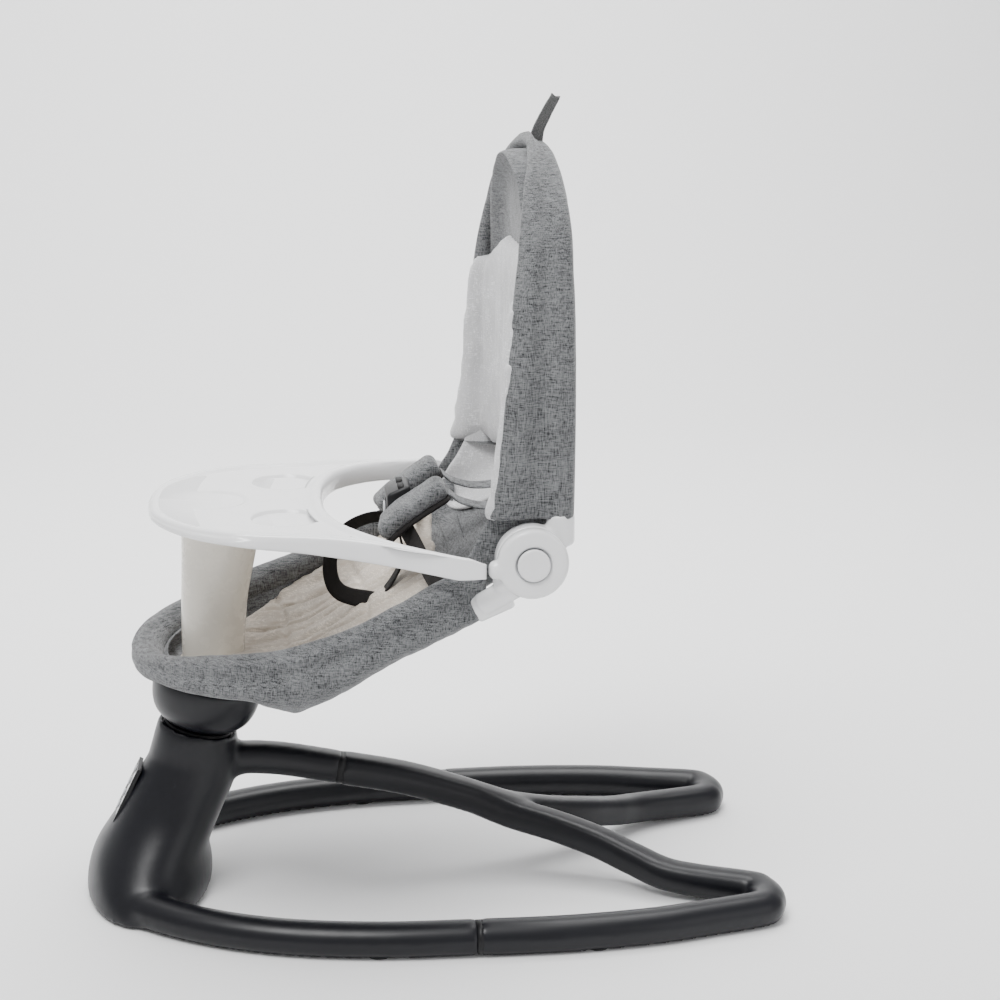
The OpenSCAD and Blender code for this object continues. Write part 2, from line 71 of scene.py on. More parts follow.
def make_camera():
    data = bpy.data.cameras.new("camera")
    data.lens = CAMERA_LENS
    data.clip_end = 30
    camera = bpy.data.objects.new("camera", data)
    bpy.context.scene.collection.objects.link(camera)
    back = Vector((math.sin(CAMERA_TURN) * math.cos(CAMERA_RISE),
                   -math.cos(CAMERA_TURN) * math.cos(CAMERA_RISE), math.sin(CAMERA_RISE)))
    camera.location = Vector((0, 0, 0.43)) + CAMERA_AWAY * back
    view = (CAMERA_AIM - camera.location).to_track_quat("-Z", "Y")
    camera.rotation_euler = view.to_euler()
    camera.rotation_euler.rotate_axis("Z", CAMERA_ROLL)
    bpy.context.scene.camera = camera


def area_light(name, place, aim, size, power):
    data = bpy.data.lights.new(name, "AREA")
    data.size = size
    data.energy = power
    lamp = bpy.data.objects.new(name, data)
    lamp.location = place
    lamp.rotation_euler = (Vector(aim) - Vector(place)).to_track_quat("-Z", "Y").to_euler()
    bpy.context.scene.collection.objects.link(lamp)


def make_studio():
    world = bpy.data.worlds.new("studio")
    bpy.context.scene.world = world
    world.use_nodes = True
    sky = world.node_tree.nodes["Background"]
    sky.inputs["Color"].default_value = (0.98, 0.985, 1.0, 1)
    sky.inputs["Strength"].default_value = 0.62
    area_light("key", (-0.9, -1.1, 3.0), (0, 0, 0.35), 1.3, 88)
    area_light("fill", (2.2, -2.2, 1.3), (0, 0, 0.4), 2.0, 16)
    area_light("top", (0.3, 0.6, 3.0), (0, 0, 0.3), 2.0, 60)
    area_light("wash", (0.0, 1.2, 2.6), (0, 3.2, 0.9), 2.6, 95)
    # one sweep of floor and backdrop
    profile = [(-4.0, 0.0), (2.2, 0.0)]
    profile += [(2.2 + math.sin(a), 1 - math.cos(a)) for a in np.linspace(0.1, math.pi / 2, 12)]
    profile += [(3.2, 4.0)]
    verts = [(x, y, z) for y, z in profile for x in (-8.0, 8.0)]
    faces = [(2 * i, 2 * i + 1, 2 * i + 3, 2 * i + 2) for i in range(len(profile) - 1)]
    mesh = bpy.data.meshes.new("floor")
    mesh.from_pydata(verts, [], faces)
    mesh.polygons.foreach_set("use_smooth", [True] * len(faces))
    floor = bpy.data.objects.new("floor", mesh)
    bpy.context.scene.collection.objects.link(floor)
    paint = bpy.data.materials.new("floor_paint")
    paint.use_nodes = True
    shader = paint.node_tree.nodes["Principled BSDF"]
    shader.inputs["Base Color"].default_value = (0.92, 0.92, 0.92, 1)
    shader.inputs["Roughness"].default_value = 0.9
    mesh.materials.append(paint)


# ---- node materials ---------------------------------------------------------

class Nodes:
    """A material under construction, with short calls for the nodes it uses."""

    def __init__(self, name):
        self.material = bpy.data.materials.new(name)
        self.material.use_nodes = True
        self.tree = self.material.node_tree
        self.shader = self.tree.nodes["Principled BSDF"]
        self.place = self.tree.nodes.new("ShaderNodeTexCoord").outputs["Object"]

    def set(self, **values):
        for key, value in values.items():
            self.shader.inputs[key.replace("_", " ")].default_value = value
        return self

    def link(self, source, target):
        self.tree.links.new(source, target)

    def stretched(self, scale, turn=(0, 0, 0)):
        node = self.tree.nodes.new("ShaderNodeMapping")
        node.inputs["Scale"].default_value = scale
        node.inputs["Rotation"].default_value = turn
        self.link(self.place, node.inputs["Vector"])
        return node.outputs["Vector"]

    def noise(self, scale, detail=2.0, rough=0.5, vector=None):
        node = self.tree.nodes.new("ShaderNodeTexNoise")
        node.inputs["Scale"].default_value = scale
        node.inputs["Detail"].default_value = detail
        node.inputs["Roughness"].default_value = rough
        self.link(self.place if vector is None else vector, node.inputs["Vector"])
        return node.outputs["Fac"]

    def waves(self, scale, direction, distortion=0.0):
        node = self.tree.nodes.new("ShaderNodeTexWave")
        node.bands_direction = direction
        node.inputs["Scale"].default_value = scale
        node.inputs["Distortion"].default_value = distortion
        node.inputs["Detail Scale"].default_value = 2.0
        self.link(self.place, node.inputs["Vector"])
        return node.outputs["Fac"]

    def math(self, operation, a, b):
        node = self.tree.nodes.new("ShaderNodeMath")
        node.operation = operation
        for socket, value in zip(node.inputs, (a, b)):
            if isinstance(value, (int, float)):
                socket.default_value = value
            else:
                self.link(value, socket)
        return node.outputs[0]

    def ramp(self, source, *stops):
        node = self.tree.nodes.new("ShaderNodeValToRGB")
        ramp = node.color_ramp
        while len(ramp.elements) < len(stops):
            ramp.elements.new(0.5)
        for element, (place, colour) in zip(ramp.elements, stops):
            element.position = place
            element.color = (*colour, 1) if len(colour) == 3 else colour
        self.link(source, node.inputs["Fac"])
        return node.outputs["Color"]

    def colour(self, source):
        self.link(source, self.shader.inputs["Base Color"])
        return self

    def roughness(self, source, low, high):
        node = self.tree.nodes.new("ShaderNodeMapRange")
        node.inputs["To Min"].default_value = low
        node.inputs["To Max"].default_value = high
        self.link(source, node.inputs["Value"])
        self.link(node.outputs["Result"], self.shader.inputs["Roughness"])
        return self

    def bump(self, height, strength, distance):
        node = self.tree.nodes.new("ShaderNodeBump")
        node.inputs["Strength"].default_value = strength
        node.inputs["Distance"].default_value = distance
        self.link(height, node.inputs["Height"])
        self.link(node.outputs["Normal"], self.shader.inputs["Normal"])
        return self


def tone(colour, factor):
    return tuple(min(1.0, c * factor) for c in colour)


def moulded(name, colour, rough=(0.3, 0.4), grain=900, depth=0.00008, shift=0.06, **sockets):
    """Moulded plastic: faint flow marks in the colour, uneven gloss and a fine grain."""
    m = Nodes(name).set(**sockets)
    m.colour(m.ramp(m.noise(9, 3), (0.3, tone(colour, 1 - shift)), (0.7, tone(colour, 1 + shift))))
    m.roughness(m.noise(60, 4, 0.6), *rough)
    m.bump(m.noise(grain, 3, 0.6), 0.25, depth)
    return m.material


def metal(name, colour):
    m = Nodes(name).set(Metallic=1.0)
    lines = m.noise(1.0, 4, 0.6, m.stretched((40, 900, 40)))
    m.colour(m.ramp(lines, (0.3, tone(colour, 0.88)), (0.7, tone(colour, 1.06))))
    m.roughness(lines, 0.22, 0.4)
    m.bump(lines, 0.2, 0.00005)
    return m.material


def cloth(name, dark, light, thread=1100, streak=0.5, sheen=0.25, mottle=0.12, depth=0.0005):
    """Woven cloth: yarns across and along, dyed unevenly, with a soft sheen."""
    m = Nodes(name).set(Sheen_Weight=sheen, Sheen_Roughness=0.5, Roughness=0.92)
    m.shader.inputs["Specular IOR Level"].default_value = 0.15
    weft = m.noise(1.0, 3, 0.65, m.stretched((thread * 0.12, thread * 0.12, thread)))
    warp = m.noise(1.0, 3, 0.65, m.stretched((thread, thread, thread * 0.12), (0.1, 0.25, 0)))
    yarn = m.math("ADD", m.math("MULTIPLY", weft, streak), m.math("MULTIPLY", warp, 1 - streak))
    patches = m.noise(38, 3, 0.6)
    speck = m.math("ADD", m.math("MULTIPLY", yarn, 1 - mottle), m.math("MULTIPLY", patches, mottle))
    m.colour(m.ramp(speck, (0.40, dark), (0.5, tone(light, 0.6)), (0.60, light)))
    weave = m.math("ADD", m.waves(thread * 0.25, "Z"), m.waves(thread * 0.25, "X"))
    m.bump(m.math("ADD", yarn, m.math("MULTIPLY", weave, 0.25)), 0.5, depth)
    return m.material


def webbing_cloth(name, dark, light):
    m = Nodes(name).set(Sheen_Weight=0.04, Roughness=0.8)
    m.shader.inputs["Specular IOR Level"].default_value = 0.2
    ribs = m.waves(420, "DIAGONAL", 1.2)
    m.colour(m.ramp(m.math("ADD", m.math("MULTIPLY", ribs, 0.5), m.math("MULTIPLY", m.noise(700, 3), 0.5)),
                    (0.3, dark), (0.75, light)))
    m.bump(ribs, 0.6, 0.0003)
    return m.material


def make_materials():
    charcoal = (0.0036, 0.0038, 0.0062)
    made = {
        "charcoal_plastic": moulded("charcoal_plastic", charcoal, (0.30, 0.42), 1400, 0.00006, 0.12,
                                    Specular_IOR_Level=0.36),
        "black_plastic": moulded("black_plastic", (0.006, 0.006, 0.007), (0.35, 0.5), 1200,
                                 Specular_IOR_Level=0.3),
        "white_plastic": moulded("white_plastic", (0.84, 0.84, 0.845), (0.14, 0.22), 1600, 0.00003,
                                 0.015, Coat_Weight=0.35, Coat_Roughness=0.08),
        "cream_plastic": moulded("cream_plastic", (0.80, 0.755, 0.665), (0.22, 0.32), 1500, 0.00004,
                                 0.03, Coat_Weight=0.15),
        "button_plastic": moulded("button_plastic", (0.62, 0.63, 0.65), (0.3, 0.4), 1500),
        "steel": metal("steel", (0.62, 0.63, 0.65)),
        "nylon": moulded("nylon", (0.78, 0.76, 0.7), (0.35, 0.5), 1300, 0.00008, 0.05),
        "rubber": moulded("rubber", (0.02, 0.02, 0.02), (0.75, 0.9), 700, 0.0002, 0.15),
        "circuit": moulded("circuit", (0.03, 0.2, 0.08), (0.25, 0.4), 500, 0.0002, 0.2),
        "window": moulded("window", (0.02, 0.024, 0.03), (0.05, 0.1), 1500, 0.00001, 0.05,
                          Coat_Weight=0.6),
        "melange_fabric": cloth("melange_fabric", (0.022, 0.023, 0.025), (0.215, 0.22, 0.225)),
        "beige_fabric": cloth("beige_fabric", (0.53, 0.45, 0.37), (0.80, 0.72, 0.62), 1100, 0.5,
                              0.3, 0.2, 0.0003),
        "white_fabric": cloth("white_fabric", (0.66, 0.66, 0.67), (0.86, 0.86, 0.87), 1300, 0.5,
                              0.25, 0.2, 0.0003),
        "black_webbing": webbing_cloth("black_webbing", (0.004, 0.0035, 0.0035), (0.020, 0.0175, 0.0165)),
        "grey_webbing": webbing_cloth("grey_webbing", (0.03, 0.03, 0.03), (0.2, 0.2, 0.2)),
    }
    return made


MATERIALS = make_materials()


# ---- shapes -----------------------------------------------------------------

def curve(points, steps):
    """A smooth curve through points of any width, with that many steps to each stretch."""
    p = np.array(points, float)
    out = []
    for i in range(len(p) - 1):
        a, b, c, d = p[max(i - 1, 0)], p[i], p[i + 1], p[min(i + 2, len(p) - 1)]
        for t in np.arange(steps) / steps:
            out.append(0.5 * (2 * b + (c - a) * t + (2 * a - 5 * b + 4 * c - d) * t ** 2
                              + (3 * b - a - 3 * c + d) * t ** 3))
    out.append(p[-1])
    return np.array(out)


def spaced(points, count):
    """The same line with evenly spaced points."""
    p = np.array(points, float)
    run = np.concatenate([[0], np.cumsum(np.linalg.norm(np.diff(p, axis=0), axis=1))])
    at = np.linspace(0, run[-1], count)
    return np.stack([np.interp(at, run, p[:, k]) for k in range(p.shape[1])], 1)


def new_object(name, verts, faces, material):
    mesh = bpy.data.meshes.new(name)
    mesh.from_pydata([tuple(v) for v in np.asarray(verts) * MM], [], faces)
    mesh.polygons.foreach_set("use_smooth", [True] * len(mesh.polygons))
    piece = bpy.data.objects.new(name, mesh)
    bpy.context.scene.collection.objects.link(piece)
    mesh.materials.append(MATERIALS[material])
    return piece


def tidy(piece, merge=0.02):
    """Merges points that coincide and turns the faces outwards."""
    work = bmesh.new()
    work.from_mesh(piece.data)
    bmesh.ops.remove_doubles(work, verts=work.verts, dist=merge * MM)
    bmesh.ops.dissolve_degenerate(work, edges=work.edges, dist=merge * MM * 0.5)
    bmesh.ops.recalc_face_normals(work, faces=work.faces)
    work.to_mesh(piece.data)
    work.free()
    piece.data.polygons.foreach_set("use_smooth", [True] * len(piece.data.polygons))
    return piece


def loft(name, rings, material, close_ends=True):
    """A skin through rings of equal point counts."""
    rings = [np.asarray(r, float) for r in rings]
    n = len(rings[0])
    verts = np.concatenate(rings)
    faces = []
    for i in range(len(rings) - 1):
        for j in range(n):
            k = (j + 1) % n
            faces.append((i * n + j, i * n + k, (i + 1) * n + k, (i + 1) * n + j))
    if close_ends:
        faces.append(tuple(range(n))[::-1])
        faces.append(tuple(len(verts) - n + j for j in range(n)))
    return tidy(new_object(name, verts, faces, material))


def modified(piece, *steps):
    """Applies modifiers given as (type, settings)."""
    for kind, settings in steps:
        modifier = piece.modifiers.new(kind, kind)
        for key, value in settings.items():
            setattr(modifier, key, value)
    bpy.context.view_layer.update()
    graph = bpy.context.evaluated_depsgraph_get()
    mesh = bpy.data.meshes.new_from_object(piece.evaluated_get(graph))
    piece.modifiers.clear()
    old = piece.data
    piece.data = mesh
    bpy.data.meshes.remove(old)
    mesh.polygons.foreach_set("use_smooth", [True] * len(mesh.polygons))
    return piece


def joined(name, pieces):
    """Several objects as one mesh, keeping each one's material."""
    bpy.ops.object.select_all(action="DESELECT")
    for piece in pieces:
        piece.select_set(True)
    bpy.context.view_layer.objects.active = pieces[0]
    bpy.ops.object.join()
    pieces[0].name = name
    pieces[0].data.name = name
    return pieces[0]


def mirrored(piece, name):
    copy = piece.copy()
    copy.data = piece.data.copy()
    copy.name = name
    copy.data.name = name
    bpy.context.scene.collection.objects.link(copy)
    for v in copy.data.vertices:
        v.co.y = -v.co.y
    copy.data.flip_normals()
    return copy


def headings(path):
    p = np.asarray(path, float)
    d = np.empty_like(p)
    d[1:-1] = p[2:] - p[:-2]
    d[0], d[-1] = p[1] - p[0], p[-1] - p[-2]
    return d / np.linalg.norm(d, axis=1)[:, None]


def upright_sweep(name, path, sections, material):
    """Carries flat sections along a path. Their width stays level."""
    rings = []
    for p, d, section in zip(path, headings(path), sections):
        across = np.array([-d[1], d[0], 0.0])
        across /= np.linalg.norm(across)
        up = np.cross(d, across)
        rings.append(p + np.outer(section[:, 0], across) + np.outer(section[:, 1], up))
    return loft(name, rings, material)


def tube(name, path, radius, material, sides=12):
    """A round bead along a path, with a frame that doesn't twist."""
    path = np.asarray(path, float)
    d = headings(path)
    side = np.cross(d[0], [0.0, 0.0, 1.0])
    if np.linalg.norm(side) < 0.1:
        side = np.cross(d[0], [0.0, 1.0, 0.0])
    rings = []
    angles = np.linspace(0, 2 * np.pi, sides, endpoint=False)
    for p, h in zip(path, d):
        side = side - h * np.dot(side, h)
        side /= np.linalg.norm(side)
        up = np.cross(h, side)
        rings.append(p + radius * (np.outer(np.cos(angles), side) + np.outer(np.sin(angles), up)))
    return loft(name, rings, material)


def strip(name, path, width_dir, width, thickness, material):
    """Webbing or a padded strap: a flat band along a path with rounded edges."""
    path = np.asarray(path, float)
    d = headings(path)
    if np.ndim(width_dir) == 1:
        width_dir = np.repeat([width_dir], len(path), 0)
    u = np.linspace(-1, 1, 15)
    half = np.full(len(path), width / 2.0) if np.ndim(width) == 0 else np.asarray(width) / 2.0
    rings = []
    for i, (p, h, w) in enumerate(zip(path, d, width_dir)):
        w = w - h * np.dot(w, h)
        w /= np.linalg.norm(w)
        up = np.cross(h, w)
        t = thickness / 2 * np.clip((1 - np.abs(u) ** 8), 0.0, 1) ** 0.5
        top = p + np.outer(u * half[i], w) + np.outer(t, up)
        low = p + np.outer(u[::-1] * half[i], w) - np.outer(t[::-1], up)
        rings.append(np.concatenate([top, low[1:-1]]))
    return loft(name, rings, material)


def rumple(piece, size, height, stretch=(1, 1, 1), seed=0.0):
    """Moves points along their normals by smooth noise: soft hollows and folds in cloth."""
    shift = Vector((seed, seed * 0.7, -seed))
    s = Vector(stretch)
    mesh = piece.data
    moves = []
    for v in mesh.vertices:
        q = Vector((v.co.x / s.x, v.co.y / s.y, v.co.z / s.z)) / (size * MM) + shift
        amount = noise.noise(q) + 0.5 * noise.noise(q * 2.1 + Vector((3, 1, 2)))
        moves.append(v.normal * (amount * height * MM))
    for v, m in zip(mesh.vertices, moves):
        v.co += m
    return piece


def stitch(piece, gap, depth, width, facing=None):
    """Sinks a sewn line into a surface. Gap gives a point's distance from the line, in mm."""
    for v in piece.data.vertices:
        if facing is None or facing(v.normal):
            d = gap(v.co.x / MM, v.co.y / MM, v.co.z / MM)
            if d < 3 * width:
                v.co -= v.normal * (depth * MM * math.exp(-(d / width) ** 2))
    return piece


def smoothstep(low, high, x):
    t = np.clip((x - low) / (high - low), 0, 1)
    return t * t * (3 - 2 * t)


def mirror_half(half):
    """Stations from the left rear round to the right rear, given the right half rear to front."""
    half = np.asarray(half, float)
    left = half.copy()
    left[:, 1] *= -1
    return np.concatenate([left, half[::-1][1:]])


# ---- base -------------------------------------------------------------------

RAIL_W, RAIL_H, ARM_W, ARM_H, SPINE_W = 38.0, 30.0, 30.0, 31.0, 34.0
FOOT_H = 2.0
HALF_L = 350.0
HALF_TRACK = 190.0
SEAM_LOW_X = 36.0
SEAM_TOP = (-91.0, 0.0, 102.0)
TIP_R = 27.0


def rail_section(w, h, boxy=0.0):
    """Flat below, domed above. Boxy moves the dome towards a flat top with round corners."""
    angles = np.linspace(-0.25, np.pi + 0.25, 24)
    c, s = np.cos(angles), np.sin(angles)
    power = 1 - 0.62 * boxy
    x = w / 2 * np.sign(c) * np.abs(c) ** power
    z = h * 0.42 + h * 0.58 * np.sign(s) * np.abs(s) ** (1 - 0.45 * boxy)
    left = [(-w / 2 + 2.2, 3.0), (-w / 2 + 5.5, 0.5), (-w / 2 + 9, 0.0)]
    right = [(w / 2 - 9, 0.0), (w / 2 - 5.5, 0.5), (w / 2 - 2.2, 3.0)]
    return np.array(list(zip(x, z)) + left + right)


def branch_points():
    x_tip = HALF_L - RAIL_W / 2 - TIP_R
    turn = [(x_tip + TIP_R * math.cos(a), 136 + TIP_R * math.sin(a), FOOT_H)
            for a in np.radians([60, 30, 0, -30, -60])]
    return ([(SEAM_LOW_X + 0.4, HALF_TRACK, FOOT_H), (120, HALF_TRACK + 1, FOOT_H),
             (205, HALF_TRACK - 6, FOOT_H), (268, HALF_TRACK - 19, FOOT_H)] + turn
            + [(245, 88, 6), (208, 62, 14), (172, 38, 25), (130, 19, 36), (85, 8, 48), (50, 2, 62)])


def make_rear_fork():
    path = curve(branch_points(), 8)
    path[:, 2] = np.maximum(path[:, 2], FOOT_H)
    k = np.clip((np.linspace(0, 1, len(path)) - 0.45) / 0.3, 0, 1)
    sections = [rail_section(RAIL_W + (ARM_W - RAIL_W) * q, RAIL_H + (ARM_H - 1 - RAIL_H) * q, 0.8 * q)
                for q in k]
    parts = [upright_sweep("branch", path, sections, "charcoal_plastic")]
    parts.append(mirrored(parts[0], "branch"))
    line = curve([(100, 0, 42), (60, 0, 58), (20, 0, 73), (-30, 0, 89), np.array(SEAM_TOP) + [0.4, 0, -0.1]],
                 10)
    parts.append(upright_sweep("spine", line, [rail_section(SPINE_W, ARM_H, 0.8)] * len(line),
                               "charcoal_plastic"))
    fork = joined("rear_fork_skin", parts)
    modified(fork, ("REMESH", {"mode": "VOXEL", "voxel_size": 0.0028, "use_smooth_shade": True}),
             ("SMOOTH", {"factor": 0.5, "iterations": 7}))
    flatten_bottom(fork, FOOT_H)
    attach(fork, "base")
    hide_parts("rear_fork")


COLUMN = [(2, -287, 63, 118), (20, -286, 63, 110), (45, -283, 58, 88), (80, -265, 54, 62),
          (110, -250, 52, 50), (140, -238, 46, 43)]


def column_rings():
    """Rings up the outside of the column, over its lip and down into the mouth."""
    angles = np.linspace(0, 2 * np.pi, 48, endpoint=False)
    rings = [np.stack([cx + a * np.cos(angles), b * np.sin(angles), np.full(48, z)], 1)
             for z, cx, a, b in curve(COLUMN, 6)]
    forward = np.array([SHAFT_AXIS[2], 0, -SHAFT_AXIS[0]])
    for raised, r in ((-16, 41.8), (-8, 41.2), (-1.5, 40.8), (0, 39.6), (0, 38.0), (-2, 36.6),
                      (-14, 35.0), (-22, 34)):
        rings.append(NECK + raised * SHAFT_AXIS + np.outer(r * np.cos(angles), forward)
                     + np.outer(r * np.sin(angles), [0, 1, 0]))
    return rings


def make_base_front():
    column = loft("column", column_rings(), "charcoal_plastic")
    half = [(SEAM_LOW_X - 1.0, HALF_TRACK, FOOT_H), (-60, HALF_TRACK - 4, FOOT_H),
            (-150, HALF_TRACK - 20, FOOT_H), (-225, HALF_TRACK - 50, FOOT_H), (-285, 98, FOOT_H),
            (-318, 50, FOOT_H), (RAIL_W / 2 - HALF_L, 0, FOOT_H)]
    path = curve(mirror_half(half), 8)
    ring = upright_sweep("ring", path, [rail_section(RAIL_W, RAIL_H)] * len(path), "charcoal_plastic")
    line = curve([(-228, 0, 112), (-190, 0, 117), (-150, 0, 114), np.array(SEAM_TOP) + [-1.0, 0, 0.2]], 10)
    # the stub deepens where it grows out of the column
    depth = np.concatenate([np.linspace(1.3, 1.0, 12), np.ones(len(line) - 12)])
    line[:, 2] -= (depth - 1) * ARM_H
    stub = upright_sweep("stub", line, [rail_section(SPINE_W, ARM_H * q, 0.8) for q in depth],
                         "charcoal_plastic")
    body = joined("base_front_skin", [column, ring, stub])
    modified(body, ("REMESH", {"mode": "VOXEL", "voxel_size": 0.003, "use_smooth_shade": True}),
             ("SMOOTH", {"factor": 0.5, "iterations": 16}))
    flatten_bottom(body, FOOT_H)
    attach(body, "base")
    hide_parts("base_body")


def flatten_bottom(piece, height):
    for v in piece.data.vertices:
        if v.co.z < (height + 1.2) * MM:
            v.co.z = height * MM


def make_seam_shade():
    """Black bands in the thin grooves where the rear fork plugs into the front moulding: painted shade for the
    grooves' dark lines.
    """
    at = np.array([[SEAM_LOW_X + step, HALF_TRACK, FOOT_H + 0.6] for step in (-3.5, 3.5)])
    ground = upright_sweep("right_seam_shade", at, [rail_section(RAIL_W - 1.8, RAIL_H - 1.6)] * 2, "black_plastic")
    top = np.array(SEAM_TOP)
    upper = upright_sweep("upper_seam_shade", np.array([top + [-4, 0, 1.4], top + [4, 0, 0.3]]),
                          [rail_section(SPINE_W - 1.8, ARM_H - 1.8, 0.8)] * 2, "black_plastic")
    for piece in (ground, mirrored(ground, "left_seam_shade"), upper):
        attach(piece, "base")


def lathe(name, profile, centre, axis, start, material, sides=72, hollow=False):
    """Spins (radius, height) points about an axis through a centre. A hollow one is a ring."""
    axis = np.asarray(axis, float)
    start = np.asarray(start, float)
    other = np.cross(axis, start)
    angles = np.linspace(0, 2 * np.pi, sides, endpoint=False)
    rings = [np.asarray(centre, float) + h * axis + r * (np.outer(np.cos(angles), start)
                                                        + np.outer(np.sin(angles), other))
             for r, h in profile]
    if hollow:
        rings.append(rings[0])
    return loft(name, rings, material, close_ends=not hollow)


def make_swing_head():
    """The dark bowl on the column, with a rolled lip."""
    profile = [(22, 0.4), (29, 0.6), (34, 1.4), (39, 3.6), (44, 7.5), (48.5, 13), (51.6, 19.5), (53.4, 26),
               (54.6, 33), (55.2, 40), (54.8, 46), (53, 48), (51.2, 46), (50.6, 38), (48, 26.2), (22, 25.6)]
    forward = [SHAFT_AXIS[2], 0, -SHAFT_AXIS[0]]
    bowl = lathe("swing_head_bowl", curve(profile, 4), NECK, SHAFT_AXIS, forward, "charcoal_plastic")
    lip = curve([(20, -3.5), (33.5, -3.5), (34.2, -2.4), (33.8, -0.9), (20, -0.8)], 3)
    collar = lathe("neck_collar", lip, NECK, SHAFT_AXIS, forward, "black_plastic", 60)
    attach(bowl, "seat")
    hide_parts("swing_head")
    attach(collar, "base")


# ---- padded shells ----------------------------------------------------------

# Right half of the tub's rim, hip to foot: place in plan and height of the roll's top
TUB_RIM = [(44, 182, 388), (0, 185, 366), (-42, 186, 343), (-93, 182, 318), (-140, 172, 301),
           (-189, 151, 290), (-230, 124, 281), (-263, 91, 272), (-286, 50, 265), (-294, 0, 262)]
SEAT_TUBE = [(47, 178, 346), (-42, 177, 309), (-110, 172, 280), (-160, 158, 263), (-208, 134, 259),
             (-250, 98, 257), (-276, 52, 254), (-284, 0, 252)]
BACK_TUBE = [(110, 178, 430), (110, 176, 530), (110, 164, 610), (110, 143, 680), (109, 108, 715),
             (108, 58, 736), (107, 0, 743)]
# Right half of the backrest's rim, hinge to head: height, half width, how far forward it comes
BACK_RIM = [(422, 183, 42), (455, 186, 49), (495, 188, 54), (545, 187, 58), (600, 180, 63),
            (650, 167, 69), (695, 143, 76), (730, 108, 83), (752, 62, 91), (761, 0, 97)]


class Shell:
    """A padded tray of cloth on a bent tube: a roll round the rim, sides down over the tube, a floor.

    Each station has a base on the middle line, an outward direction, and heights along up."""

    def __init__(self, up, rim, tube_line, spine, keel, floor, roll, belly, sag, lined_from):
        self.up = np.array(up, float)
        self.stations = []
        for p in rim:
            base = spine(p)
            out = p - base
            out -= self.up * np.dot(out, self.up)
            reach = np.linalg.norm(out)
            e = out / reach
            rel = tube_line - base
            side = np.linalg.norm(np.cross(rel - np.outer(rel @ self.up, self.up), e), axis=1)
            side[rel @ e < 0] = 1e9
            nearest = tube_line[np.argmin(side)]
            self.stations.append((base, e, reach, p @ self.up, (nearest - base) @ e,
                                  nearest @ self.up, keel(base), floor(base)))
        self.roll, self.belly, self.sag, self.lined_from = roll, belly, sag, lined_from

    def outline(self, station):
        base, _, reach, rim, tube_r, tube_h, keel, floor = station
        w = self.roll
        low = tube_h - 12.3
        sag = self.sag(base[0], low)
        under = min(keel + self.belly, low)
        lift = rim - tube_h
        pinch = 6.0 * np.clip(lift / 40, 0, 1)
        return [(0, keel), (0.35 * tube_r, keel + 0.05 * (low - keel)),
                (0.7 * tube_r, under + 0.25 * (low - under) - 0.5 * sag), (tube_r - 14, low - 1.5 - sag),
                (tube_r - 1, low - 0.8 * sag), (tube_r + 9.5, tube_h - 8.5 - 0.35 * sag),
                (tube_r + 12.8, tube_h), (0.5 * (tube_r + 13 + reach + 4) - pinch, tube_h + 0.33 * lift),
                (reach + 2.5, tube_h + 0.62 * lift), (reach + 1.2, rim - 0.14 * lift - 2),
                (reach - 0.38 * w, rim), (reach - 0.85 * w, rim - 0.18 * w),
                (reach - 1.0 * w, rim - 0.6 * w), (reach - 0.84 * w, rim - 1.05 * w),
                (reach - 0.9 * w, rim - 0.45 * (rim - floor) - 4), (reach - 1.15 * w, floor + 17),
                (0.72 * reach, floor + 4), (0.4 * reach, floor + 1), (0, floor)]

    def ring(self, station):
        outline = curve(self.outline(station), 4)
        base = station[0] - self.up * np.dot(station[0], self.up)
        return base + np.outer(outline[:, 0], station[1]) + np.outer(outline[:, 1], self.up)

    def inside(self, station, share, lift):
        """A place on the inside: share runs from the floor's middle out to the roll."""
        outline = spaced(curve(self.outline(station)[self.lined_from:][::-1], 6), 80)
        at = share * (len(outline) - 1)
        i = np.clip(np.floor(at).astype(int), 0, len(outline) - 2)
        f = (at - i)[:, None]
        p = outline[i] * (1 - f) + outline[i + 1] * f
        d = outline[i + 1] - outline[i]
        d /= np.linalg.norm(d, axis=1)[:, None]
        p = p + np.stack([-d[:, 1], d[:, 0]], 1) * lift[:, None]
        base = station[0] - self.up * np.dot(station[0], self.up)
        return base + np.outer(p[:, 0], station[1]) + np.outer(p[:, 1], self.up)

    def skin(self, name, material):
        rings = [self.ring(s) for s in self.stations]
        n = len(rings[0])
        verts = np.concatenate(rings)
        faces = [(i * n + j, i * n + j + 1, (i + 1) * n + j + 1, (i + 1) * n + j)
                 for i in range(len(rings) - 1) for j in range(n - 1)]
        faces.append(tuple(range(n)))
        faces.append(tuple((len(rings) - 1) * n + j for j in range(n))[::-1])
        return tidy(new_object(name, verts, faces, material), 0.4)

    def liner(self, name, first, last, shares, thickness, material):
        """A pad that follows the inside over some stations. Thickness(k, share) gives its loft."""
        rows = self.stations[first:last]
        top, bottom = [], []
        for k, station in enumerate(rows):
            s = shares(k / (len(rows) - 1))
            top.append(self.inside(station, s, thickness(k / (len(rows) - 1), np.linspace(0, 1, len(s)),
                                                         station)))
            bottom.append(self.inside(station, s, np.full(len(s), -2.2)))
        return two_sided(name, np.array(top), np.array(bottom), material)


